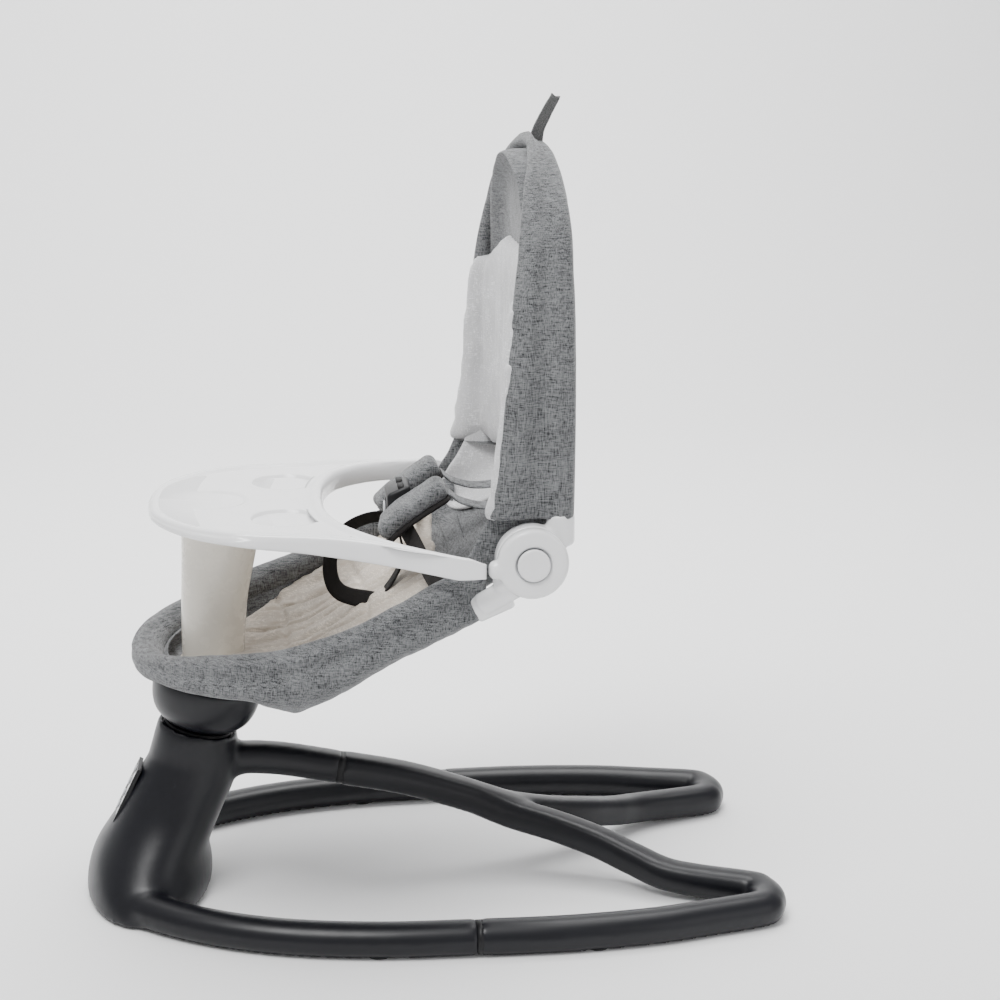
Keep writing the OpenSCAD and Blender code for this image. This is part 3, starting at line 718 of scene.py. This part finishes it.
def two_sided(name, top, bottom, material, all_round=False):
    """A pad from two grids of the same shape, walled along three edges or all round. With three, the
    grids' first columns lie on the middle line, where left and right stations meet."""
    rows, cols = top.shape[:2]
    verts = np.concatenate([top.reshape(-1, 3), bottom.reshape(-1, 3)])
    off = rows * cols
    faces = []
    for i in range(rows - 1):
        for j in range(cols - 1):
            a, b, c, d = i * cols + j, i * cols + j + 1, (i + 1) * cols + j + 1, (i + 1) * cols + j
            faces.append((a, b, c, d))
            faces.append((off + d, off + c, off + b, off + a))
    edge = (list(range(cols)) + [i * cols + cols - 1 for i in range(1, rows)]
            + [(rows - 1) * cols + j for j in range(cols - 2, -1, -1)])
    if all_round:
        edge += [i * cols for i in range(rows - 2, -1, -1)]
    for a, b in zip(edge, edge[1:]):
        faces.append((b, a, off + a, off + b))
    # halves that meet on the middle line are welded there
    return tidy(new_object(name, verts, faces, material), 0.02 if all_round else 0.25)


def tub_floor(x):
    return np.interp(x, [-300, -200, -150, -118, 44], [220, 221.5, 225.5, 239, 330])


def make_tub_shell():
    rim = spaced(curve(mirror_half(TUB_RIM), 10), 150)
    tube_line = curve(mirror_half(SEAT_TUBE), 30)
    return Shell((0, 0, 1), rim, tube_line,
                 lambda p: np.array([p[0] if p[0] > -120 else -120 + (p[0] + 120) * 0.4, 0, p[2]]),
                 lambda b: tub_floor(b[0]), lambda b: tub_floor(b[0]) + 14, 30.0, 12.0,
                 lambda x, low: np.interp(low, [240, 248, 250, 258, 275, 298, 320, 340],
                                          [0, 0, 8, 22, 17, 8, 3, 0]), 12)


def make_back_shell():
    half = [(-x, y, z) for z, y, x in BACK_RIM]
    rim = spaced(curve(mirror_half([(-a, b, c) for a, b, c in half]), 10), 150)
    rim = np.array([[x, y, z] for x, y, z in rim])
    tube_line = curve(mirror_half(BACK_TUBE), 30)
    return Shell((-1, 0, 0), rim, tube_line,
                 lambda p: np.array([p[0], 0, p[2] if p[2] < 590 else 590 + (p[2] - 590) * 0.4]),
                 lambda b: -121.5, lambda b: np.interp(b[2], [590, 655], [-101.0, -92.0]), 15.0, 2.0,
                 lambda x, low: 0.0, 10)


def make_tubes():
    """Steel frames inside the cloth, a little slimmer than their covers leave room for."""
    for node, half, body in (("seat_tube", SEAT_TUBE, "seat"), ("back_tube", BACK_TUBE, "backrest")):
        pipe = tube(node + "_bent", curve(mirror_half(half), 16), 8.4, "steel", 20)
        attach(pipe, body)
        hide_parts(node)


def make_shells():
    tub = make_tub_shell()
    skin = tub.skin("seat_cover", "melange_fabric")
    modified(skin, ("SUBSURF", {"levels": 1, "render_levels": 1}))
    rumple(skin, 52, 1.5, (1.7, 1, 0.6), 2.0)
    rumple(skin, 15, 0.5, (2.4, 1.5, 0.8), 5.0)
    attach(skin, "seat")
    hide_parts("seat_shell")
    back = make_back_shell()
    cover = back.skin("backrest_cover", "melange_fabric")
    modified(cover, ("SUBSURF", {"levels": 1, "render_levels": 1}))
    rumple(cover, 60, 1.2, (0.7, 1, 2.2), 8.0)
    rumple(cover, 16, 0.5, (1, 1.5, 2.6), 3.0)
    # the sewn line up each side and round the head, by the frame tube
    stitch(cover, lambda x, y, z: abs(x - 111 + 0.02 * max(z - 640, 0)), 1.6, 1.7, lambda n: abs(n.x) < 0.55)
    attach(cover, "backrest")
    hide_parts("backrest_shell")
    return tub, back


def settle(piece, voxel, cap, pressure):
    """Lets a pad swell as cloth does. No point sinks, and none moves further than the cap."""
    modified(piece, ("REMESH", {"mode": "VOXEL", "voxel_size": voxel * MM, "use_smooth_shade": True}))
    start = np.array([v.co[:] for v in piece.data.vertices])
    normals = np.array([v.normal[:] for v in piece.data.vertices])
    scene = bpy.context.scene
    modifier = piece.modifiers.new("cloth", "CLOTH")
    cloth = modifier.settings
    cloth.quality = 4
    cloth.mass = 0.3
    cloth.use_pressure = True
    cloth.uniform_pressure_force = pressure
    cloth.effector_weights.gravity = 0
    cloth.shrink_min = -0.04
    modifier.point_cache.frame_start = 1
    modifier.point_cache.frame_end = 20
    for frame_number in range(1, 21):
        scene.frame_set(frame_number)
    graph = bpy.context.evaluated_depsgraph_get()
    shaped = piece.evaluated_get(graph).to_mesh()
    moved = np.array([v.co[:] for v in shaped.vertices])
    piece.evaluated_get(graph).to_mesh_clear()
    piece.modifiers.clear()
    scene.frame_set(1)
    step = moved - start
    out = np.sum(step * normals, axis=1)[:, None]
    along = step - normals * out
    along *= np.minimum(1, 0.3 * cap * MM / (np.linalg.norm(along, axis=1)[:, None] + 1e-9))
    step = normals * np.clip(out, 0, cap * MM) + along
    for v, p in zip(piece.data.vertices, start + step):
        v.co = p
    return modified(piece, ("SUBSURF", {"levels": 1, "render_levels": 1}))


def make_pads(tub, back):
    count = len(tub.stations)

    def seat_shares(along):
        foot = 1 - abs(2 * along - 1)
        return np.linspace(0, 0.90 - 0.44 * smoothstep(0.34, 0.8, foot), 60)

    def seat_loft(along, share, station):
        length = share * station[2]
        channel = np.min(np.abs(length[:, None] - np.array([[20.0, 66.0, 112.0]])), axis=1)
        edge = 1.6 + np.minimum((1 - share) * 55, min(along, 1 - along) * 700)
        loft_up = 8.0 * np.sqrt(np.clip(edge / 9, 0, 1))
        return loft_up * (1 - 0.6 * np.exp(-(channel / 4.0) ** 2))

    pad = tub.liner("seat_pad_quilt", 5, count - 5, seat_shares, seat_loft, "beige_fabric")
    settle(pad, 4.5, 6, 3.0)
    rumple(pad, 40, 3.0, (1.3, 0.7, 1), 6.0)
    rumple(pad, 14, 0.7, (1.6, 1, 1), 9.0)
    # sewn lines: two along each side of the middle, and two across
    stitch(pad, lambda x, y, z: min(abs(abs(y) - 42 - 4 * math.sin(x / 40)), abs(abs(y) - 98),
                                    abs(x + 142 + 0.0006 * y * y), abs(x + 62 + 0.0006 * y * y)),
           3.2, 3.2, lambda n: n.z > 0.2)
    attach(pad, "seat")
    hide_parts("seat_pad")

    insert = make_insert(back)
    settle(insert, 4.0, 5, 3.0)
    rumple(insert, 34, 2.2, (0.8, 0.7, 2.0), 4.0)
    rumple(insert, 12, 0.6, (1, 0.8, 2.2), 1.0)
    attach(insert, "backrest")
    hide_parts("backrest_pad")


INSERT_LOW, INSERT_TOP = 425.0, 656.0
PAD_COLS = 44      # points from the middle to a side
PAD_LEVELS = 50    # levels at which the backrest is measured
PAD_ROWS = 36      # rows of the pad under its arched top


def make_insert(back):
    """The white pad over the backrest's floor and side walls, its top edge a low arch."""
    rim_line, tube_line = curve(BACK_RIM, 10), curve(BACK_TUBE, 10)
    shares = np.linspace(0, 0.985, PAD_COLS)
    full = 10.0
    on, off = [], []
    for z in np.linspace(INSERT_LOW, INSERT_TOP, PAD_LEVELS):
        half, x = (np.interp(z, rim_line[:, 0], rim_line[:, k]) for k in (1, 2))
        tube_y = np.interp(z, tube_line[:, 2], tube_line[:, 1])
        floor = np.interp(590 + 0.55 * (z - 590), [590, 655], [-101.0, -92.0])
        station = (np.array([0, 0, z]), np.array([0, 1.0, 0]), half, -x, tube_y, -110.0, -121.5, floor)
        on.append(back.inside(station, shares, np.zeros(PAD_COLS)))
        off.append(back.inside(station, shares, np.full(PAD_COLS, full)))
    on, off = np.array(on), np.array(off)
    y = on[PAD_LEVELS // 2, :, 1]
    arch = INSERT_TOP - 2 - 0.3 * np.maximum(y - 100, 0) - 0.3 * np.maximum(y - 150, 0)
    column = np.arange(PAD_COLS)
    top, bottom = [], []
    for t in np.linspace(0, 1, PAD_ROWS):
        at = t * (arch - INSERT_LOW) / (INSERT_TOP - INSERT_LOW) * (PAD_LEVELS - 1)
        low = np.minimum(at.astype(int), PAD_LEVELS - 2)
        part = (at - low)[:, None]
        under = on[low, column] * (1 - part) + on[low + 1, column] * part
        over = off[low, column] * (1 - part) + off[low + 1, column] * part
        edge = 1.6 + 0.35 * np.minimum((1 - shares) * 190, min(t, 1 - t) * 230)
        loft_up = 8.5 * np.sqrt(np.clip(edge / 9, 0, 1)) / full
        for rows, lift in ((top, loft_up), (bottom, np.full(PAD_COLS, -0.22))):
            right = under + (over - under) * lift[:, None]
            rows.append(np.concatenate([right[:0:-1] * [1, -1, 1], right]))
    return two_sided("backrest_insert", np.array(top), np.array(bottom), "white_fabric", all_round=True)


# ---- crease between seat and backrest -----------------------------------------

def grid_piece(name, grid, thickness, material):
    """A sheet through a grid of points, given thickness and rounded edges."""
    rows, cols = grid.shape[:2]
    faces = [(i * cols + j, i * cols + j + 1, (i + 1) * cols + j + 1, (i + 1) * cols + j)
             for i in range(rows - 1) for j in range(cols - 1)]
    piece = new_object(name, grid.reshape(-1, 3), faces, material)
    return modified(piece, ("SOLIDIFY", {"thickness": thickness * MM, "offset": 0.0}),
                    ("SUBSURF", {"levels": 1, "render_levels": 1}))


def make_crease():
    """The lining that closes the angle between the tub and the backrest, side to side.

    Each row is a U: down a side, across below the child and up the other side."""
    # middle line of the U, and the top of its sides, from the tub to the backrest
    floor_line = curve([(26, 336), (52, 350), (78, 368), (98, 393), (106, 420), (104, 446)], 6)
    side_low = curve([(26, 352), (52, 362), (74, 378), (92, 398), (101, 422), (100, 446)], 6)
    side_top = curve([(12, 366), (22, 384), (33, 402), (42, 420), (49, 440), (54, 462)], 6)
    rows = []
    for (fx, fz), (lx, lz), (tx, tz) in zip(floor_line, side_low, side_top):
        near_hub = math.exp(-((lx - HUB_X) ** 2 + (lz - HUB_Z) ** 2) / 38.0 ** 2)
        wide = 172 - 6 * near_hub
        half = curve([(fx, 0, fz), (fx, 70, fz), (fx - 1, 125, fz + 2), (lx - 2, 158, lz),
                      (lx - 10, wide, lz + 6), (0.5 * (lx + tx), wide + 3, 0.5 * (lz + tz)),
                      (tx, wide + 4, tz)], 5)
        left = half.copy()
        left[:, 1] *= -1
        rows.append(np.concatenate([left[::-1], half[1:]]))
    rows = np.array(rows)
    lining = grid_piece("crease_lining", rows, 5.0, "melange_fabric")
    # the white layer lies on the inside, above a seam that hangs lower at the sides
    y = np.abs(rows[0][:, 1])
    seam = 17 - 15 * smoothstep(60, 172, y)
    inner = []
    for t in np.linspace(0, 1, 20):
        at = seam + t * (len(rows) - 1 - seam)
        low = np.minimum(at.astype(int), len(rows) - 2)
        part = (at - low)[:, None]
        column = np.arange(len(y))
        inner.append(rows[low, column] * (1 - part) + rows[low + 1, column] * part)
    inner = np.array(inner)[:, 2:-2]
    level = 1 - smoothstep(120, 165, np.abs(inner[:, :, 1]))
    inner[:, :, 0] -= 6.0 * level
    inner[:, :, 1] *= 1 - 0.034
    inner[:, :, 2] += 3.0 * level
    white = grid_piece("crease_insert", inner, 5.0, "white_fabric")
    for piece, look in ((lining, "melange_fabric"), (white, "white_fabric")):
        rumple(piece, 38, 1.6, (1, 1.6, 0.8), 11.0)
        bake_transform(piece)


# ---- harness ------------------------------------------------------------------

def box_pad(name, path, wide, thick, material, taper=0.8):
    """A stuffed sleeve along a path: pillow section, ends drawn in."""
    path = spaced(curve(path, 8), 34)
    share = np.linspace(0, 1, len(path))
    ends = np.clip(np.minimum(share, 1 - share) / 0.08, 0, 1) ** 0.5
    d = headings(path)
    u = np.linspace(0, 2 * np.pi, 32, endpoint=False)
    c, sn = np.cos(u), np.sin(u)
    rings = []
    for p, h, q in zip(path, d, ends):
        w = np.array([0.0, 1.0, 0.0])
        w -= h * np.dot(w, h)
        w /= np.linalg.norm(w)
        up = np.cross(h, w)
        a = wide / 2 * (taper + (1 - taper) * q)
        b = thick / 2 * (0.35 + 0.65 * q)
        rings.append(p + np.outer(a * np.sign(c) * np.abs(c) ** 0.55, w)
                     + np.outer(b * np.sign(sn) * np.abs(sn) ** 0.75, up))
    piece = loft(name, rings, material)
    return modified(piece, ("SUBSURF", {"levels": 1, "render_levels": 1}))


def make_harness():
    for side, label in ((-1, "left"), (1, "right")):
        y = side * 43
        sleeve_path = [(15, y, 427 + side), (-7, y * 0.98, 413 + side), (-28, y * 0.93, 398 + side),
                       (-46, y * 0.86, 382 + 2 * side)]
        sleeve = box_pad(label + "_shoulder_sleeve", sleeve_path, 48, 20, "melange_fabric", 0.86)
        rumple(sleeve, 20, 1.0, (1, 0.8, 1), 3.0 * side)
        edge = box_pad(label + "_sleeve_edge", [(p[0] + 4.5, p[1], p[2] - 8.5) for p in sleeve_path],
                       51, 7, "black_webbing", 0.95)
        strap_path = curve([(98, y, 414), (78, y, 406), (52, y, 404), (30, y, 410), (14, y, 420),
                            (-7, y * 0.98, 410), (-28, y * 0.93, 395), (-44, y * 0.86, 381)], 6)
        strap = strip(label + "_shoulder_webbing", strap_path, np.array([0, 1.0, 0]), 30, 2.4,
                      "melange_fabric")
        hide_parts(label + "_shoulder_strap")
        for piece, slot in ((sleeve, "melange_fabric"), (edge, "black_webbing"), (strap, "melange_fabric")):
            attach(piece, "backrest")
        lap = curve([(-28, side * 25, 390), (-16, side * 70, 380), (-4, side * 120, 366),
                     (8, side * 158, 355), (14, side * 166, 347)], 8)
        lap[:, 2] -= 10 * np.sin(np.linspace(0, np.pi, len(lap)))
        belt = strip(label + "_lap_webbing", lap, np.array([0.15, 0, 1.0]), 25, 2.2, "black_webbing")
        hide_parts(label + "_waist_strap")
        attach(belt, "seat")
    # the crotch webbing hangs from the buckle in a loose loop and comes back up under it
    loop = curve([(-30, 0, 380), (-52, -2, 384), (-76, -5, 376), (-92, -7, 358), (-97, -8, 338),
                  (-95, -8, 320), (-88, -8, 309), (-76, -7, 303), (-62, -6, 300), (-50, -4, 296),
                  (-42, -3, 288)], 8)
    run = headings(loop)
    facing = np.stack([-run[:, 2], np.full(len(run), 0.8), run[:, 0]], 1)
    belt = strip("crotch_webbing_loop", loop, facing, 19, 2.6, "black_webbing")
    down = curve([(-29, 0, 374), (-24, 0, 352), (-26, -1, 334), (-36, -3, 316), (-47, -4, 303),
                  (-56, -4, 296)], 6)
    root = strip("crotch_webbing", down, np.array([0.0, 1.0, 0]), 22, 2.4, "black_webbing")
    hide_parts("crotch_strap")
    for piece in (belt, root):
        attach(piece, "seat")
    make_buckle()


def make_buckle():
    """A pressed-button buckle: soft-edged body, a collar round the button, three mouths for webbing."""
    half = 23.6
    front = np.array([(-40, 372.6), (-16.3, 372.6), (-16.3, 419.4), (-22, 419.4), (-40, 411.6)])
    low, high = (np.column_stack([front[:, 0], np.full(5, y), front[:, 1]]) for y in (-half, half))
    body = loft("buckle_body", [low, high], "black_plastic")
    modified(body, ("BEVEL", {"width": 0.0035, "segments": 4, "limit_method": "ANGLE"}))
    rim = curve([(8.3, -1.6), (9.0, 0.9), (10.6, 1.2), (12.0, 0.6), (12.6, -1.0)], 3)
    collar = lathe("buckle_collar", rim, (-40, 0, 392), [-1, 0, 0], [0, 1, 0], "black_plastic", 40)
    mouths = [loft("buckle_mouth", [np.array([(x - 3, y - w, z - 1.2), (x - 3, y + w, z - 1.2),
                                              (x + 3, y + w, z - 1.2), (x + 3, y - w, z - 1.2)])
                                    + [0, 0, lift] for lift in (0, 2.6)], "rubber")
              for x, y, z, w in ((-28, 0, 372, 14), (-26, -12, 418, 8), (-26, 12, 418, 8))]
    body = joined("buckle_body", [body, collar] + mouths)
    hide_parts("harness_buckle")
    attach(body, "seat")


def make_head_loop():
    """Folded webbing with two hanging tails, sewn to the head end."""
    path = curve([(103, -3, 752), (107, -4, 764), (114, -3.2, 778), (122, -2, 791), (125.4, 0, 796),
                  (124, 2, 791), (118, 3.2, 779), (112, 4, 765), (110, 3, 752)], 6)
    loop = strip("head_loop_webbing", path, np.array([0.8, 0.45, -0.4]), 10.5, 2.0, "grey_webbing")
    rumple(loop, 12, 0.4, (1, 1, 1), 1.0)
    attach(loop, "backrest")
    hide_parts("head_loop")


# ---- tray ---------------------------------------------------------------------

TRAY_EDGE = [(-274, 0), (-267, 60), (-236, 112), (-186, 142), (-120, 155), (-50, 176), (14, 204), (38, 211)]
BELLY_EDGE = [(-103, 0), (-99, 60), (-82, 112), (-44, 158), (10, 194), (38, 208)]


def tray_top(x):
    return (408 - 1.0 * smoothstep(-250, -100, x) - 14 * smoothstep(-110, 70, x)
            - 3.0 * smoothstep(22, 39, x))


def tray_low(x):
    """The underside climbs towards the front, where the tray is thin."""
    return np.interp(x, [-276, -236, -186, -120, -50, 14, 40], [399, 397, 394, 389, 382, 375, 378])


def tray_loop():
    """The tray's whole outline with, for each point, the direction inwards and the width there."""
    outer = spaced(curve(TRAY_EDGE, 12), 100)
    inner = spaced(curve(BELLY_EDGE, 12), 100)
    gap = inner - outer
    wide = np.linalg.norm(gap, axis=1)
    # close to the edges the way in is square to the outline
    points, inward, width = [], [], []
    for line, sign in ((outer, 1), (inner[::-1], -1)):
        d = np.gradient(line, axis=0)
        d /= np.linalg.norm(d, axis=1)[:, None]
        points.append(line)
        inward.append(np.stack([-d[:, 1], d[:, 0]], 1))
        width.append(wide if sign == 1 else wide[::-1])
    p, n, w = np.concatenate(points), np.concatenate(inward), np.concatenate(width)
    # right half runs front, tip, belly; the left half mirrors it backwards
    p2, n2, w2 = p[::-1] * [1, -1], n[::-1] * [1, -1], w[::-1]
    keep = slice(1, -1)
    return (np.concatenate([p, p2[keep]]), np.concatenate([n, n2[keep]]), np.concatenate([w, w2[keep]]))


def make_tray():
    p, n, w = tray_loop()
    check = p[3] + n[3] * 5
    if check[0] < p[3][0]:
        n = -n
    deepest = 19.0
    squeeze = np.minimum(1, 0.44 * w / deepest)
    profile = [(6.0, "low", 9.0), (3.6, "low", 1.6), (2.0, "low", 0.0), (0.7, "low", 0.5), (0.0, "low", 2.4),
               (0.0, "mid", 0.5), (0.3, "top", -6.5), (1.3, "top", -2.8), (3.2, "top", -0.8), (5.6, "top", 0.0),
               (8.4, "top", -0.2), (11.0, "top", -1.2), (13.4, "top", -2.4), (16.0, "top", -2.9),
               (deepest, "top", -3.0)]
    rings = []
    for d, kind, lift in profile:
        q = p + n * (d * squeeze)[:, None]
        low, top = tray_low(q[:, 0]), tray_top(q[:, 0])
        z = {"low": low, "top": top, "mid": 0.5 * (low + top)}[kind]
        shrink = squeeze if kind == "top" else np.ones(len(p))
        rings.append(np.column_stack([q, z + lift * shrink]))
    count = len(p)
    work = bmesh.new()
    rows = [[work.verts.new(v * MM) for v in ring] for ring in rings]
    for a, b in zip(rows, rows[1:]):
        for i in range(count):
            j = (i + 1) % count
            work.faces.new((a[i], a[j], b[j], b[i]))
    # deck: the flat inside the rim, with round recesses
    recesses = [(-140.0, 74.0, 33.0, 4.2), (-140.0, -74.0, 33.0, 4.2), (-214.0, 0.0, 36.0, 1.6)]
    boundary = [work.edges.get((rows[-1][i], rows[-1][(i + 1) % count])) for i in range(count)]
    edges = list(boundary)
    for cx, cy, r, deep in recesses:
        around = np.linspace(0, 2 * np.pi, 64, endpoint=False)
        loops = []
        for radius, drop in ((r + 2.4, 0.0), (r + 1.0, 0.12), (r, 0.7), (r - 1.0, deep - 0.9),
                             (r - 2.0, deep - 0.15), (r - 3.6, deep), (r * 0.5, deep)):
            x, y = cx + radius * np.cos(around), cy + radius * np.sin(around)
            z = tray_top(x) - 3.0 - drop
            loops.append([work.verts.new(Vector(v) * MM) for v in zip(x, y, z)])
        for a, b in zip(loops, loops[1:]):
            for i in range(64):
                work.faces.new((a[i], a[(i + 1) % 64], b[(i + 1) % 64], b[i]))
        work.faces.new(loops[-1])
        work.edges.ensure_lookup_table()
        edges += [work.edges.get((loops[0][i], loops[0][(i + 1) % 64])) for i in range(64)]
    # both fills are worked out flat, then every point goes back to its height
    heights = {v: v.co.z for v in work.verts}
    for v in work.verts:
        v.co.z = 0.0
    bmesh.ops.triangle_fill(work, edges=edges, use_beauty=True, normal=(0, 0, 1))
    under = [work.edges.get((rows[0][i], rows[0][(i + 1) % count])) for i in range(count)]
    bmesh.ops.triangle_fill(work, edges=under, use_beauty=True, normal=(0, 0, 1))
    for v, height in heights.items():
        v.co.z = height
    bmesh.ops.recalc_face_normals(work, faces=work.faces)
    mesh = bpy.data.meshes.new("tray_top")
    work.to_mesh(mesh)
    work.free()
    mesh.polygons.foreach_set("use_smooth", [True] * len(mesh.polygons))
    mesh.materials.append(MATERIALS["white_plastic"])
    tray = bpy.data.objects.new("tray_top", mesh)
    bpy.context.scene.collection.objects.link(tray)
    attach(tray, "tray")
    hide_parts("tray")


def make_post():
    """The cream post under the tray, with a soft flare at the top."""
    rows = curve([(-215, 30.6, 237.4), (-215, 31, 241), (-214.6, 31.6, 262), (-212.4, 33, 305),
                  (-207, 36.6, 350), (-204, 39, 380), (-203.2, 40, 390), (-203, 41.5, 398.6)], 6)
    angles = np.linspace(0, 2 * np.pi, 64, endpoint=False)
    c, sn = np.cos(angles), np.sin(angles)
    rings = [np.stack([cx + r * np.sign(c) * np.abs(c) ** 0.9, 1.02 * r * np.sign(sn) * np.abs(sn) ** 0.9,
                       np.full(64, z)], 1) for cx, r, z in rows]
    post = loft("tray_post_skin", rings, "cream_plastic")
    cuff_line = curve([(29, 237.5), (33, 237.6), (34.4, 239), (34.0, 241.4), (31.4, 243), (29, 243.4)], 4)
    cuff = [np.stack([-214 + r * c, r * sn, np.full(64, z)], 1) for r, z in cuff_line]
    foot = loft("tray_post_foot", cuff, "cream_plastic")
    for piece in (post, foot):
        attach(piece, "tray")
    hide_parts("tray_post")


# ---- hinges -------------------------------------------------------------------

def hull_bar(name, a, b, radius, material, ends=1.0):
    """A round bar between two points, its ends softened."""
    a, b = np.array(a, float), np.array(b, float)
    axis = (b - a) / np.linalg.norm(b - a)
    start = np.cross(axis, [0.0, 1.0, 0.0])
    start /= np.linalg.norm(start)
    length = np.linalg.norm(b - a)
    profile = [(radius * 0.5, 0), (radius - ends, 0), (radius, ends), (radius, length - ends),
               (radius - ends, length), (radius * 0.5, length)]
    return lathe(name, profile, a, axis, start, material, 40)


def moulded_from(name, parts, voxel, smooth):
    """Joins shapes into one moulding with soft inside corners."""
    piece = joined(name, parts)
    return modified(piece, ("REMESH", {"mode": "VOXEL", "voxel_size": voxel * MM, "use_smooth_shade": True}),
                    ("SMOOTH", {"factor": 0.5, "iterations": smooth}))


def make_hinges():
    centre = np.array([HUB_X, 0, HUB_Z])
    outwards, start = [0, 1, 0], [1, 0, 0]
    cover = [(16.6, 192.3), (31.5, 192.3), (32.7, 193.2), (33, 195), (33, 201), (32.4, 203.6), (30.6, 205.4),
             (27.5, 206), (18.4, 206), (17.2, 205.4), (16.6, 204.4)]
    cap = [(0.6, 207.0), (9.0, 207.0), (10.5, 206.2), (10.8, 203.2), (14.2, 203.2), (15.0, 204.4),
           (15.0, 207.2), (14.5, 208.1), (13.2, 208.7), (9, 208.5), (0.6, 208.3)]
    inner = [(16, 174.4), (31.4, 174.4), (32.7, 175.4), (33, 177), (33, 189), (32.6, 190.8), (31.4, 191.6),
             (16, 191.6)]
    for side, label in ((-1, "left"), (1, "right")):
        disc = lathe("disc", cover, centre, outwards, start, "white_plastic", hollow=True)
        arm = hull_bar("arm", (64, 178, 353.8), (30, 178, 338.9), 13.2, "white_plastic", 2.2)
        arm2 = hull_bar("web", (70, 190, 366), (34, 184, 344), 11.0, "white_plastic", 3.0)
        bridge = hull_bar("web", (56, 194, 374), (60, 181, 356), 11.0, "white_plastic", 3.0)
        yoke = hull_bar("yoke", (60, 197.5, 382.4), (42, 198.5, 383), 8.6, "white_plastic", 3.0)
        seat_side = moulded_from(label + "_seat_hinge", [disc, arm, arm2, bridge, yoke], 1.5, 5)
        button = lathe(label + "_recline_cap", curve(cap, 2), centre, outwards, start, "white_plastic")
        # grey ring down in the gap round the cap: painted shade that draws the gap's line
        ring = lathe(label + "_cap_gap_shade", [(15.5, 202.2), (17.4, 202.2), (17.4, 203.0), (15.5, 203.0)],
                     centre, outwards, start, "button_plastic", hollow=True)
        disc = lathe("disc", inner, centre, outwards, start, "white_plastic", hollow=True)
        socket = hull_bar("socket", (110, 178, 400), (110, 178, 430), 13.0, "white_plastic", 2.2)
        web = hull_bar("web", (100, 182, 384), (107, 180, 424), 10.0, "white_plastic", 3.0)
        back_side = moulded_from(label + "_back_hinge", [disc, socket, web], 1.5, 5)
        if side < 0:
            flip = [mirrored(piece, piece.name) for piece in (seat_side, button, ring, back_side)]
            for old in (seat_side, button, ring, back_side):
                bpy.data.objects.remove(old)
            seat_side, button, ring, back_side = flip
            for piece, name in zip(flip, ("_seat_hinge", "_recline_cap", "_cap_gap_shade", "_back_hinge")):
                piece.name = label + name
        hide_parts(label + "_seat_hub")
        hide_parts(label + "_back_hub")
        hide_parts(label + "_recline_button")
        for piece, body in ((seat_side, "seat"), (ring, "seat"), (back_side, "backrest"),
                            (button, label + "_recline_button")):
            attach(piece, body)


make_camera()
make_studio()
make_base_front()
make_rear_fork()
make_seam_shade()
make_swing_head()
make_tubes()
tub, back = make_shells()
make_pads(tub, back)
make_crease()
make_harness()
make_head_loop()
make_tray()
make_post()
make_hinges()

SLOT_LOOKS = {row["node"]: row["material_slot"] for row in frame["record"]["subparts"]}
for node, piece in frame["nodes"].items():
    look = MATERIALS.get(SLOT_LOOKS[node], MATERIALS["steel"])
    piece.data.materials.clear()
    piece.data.materials.append(look)
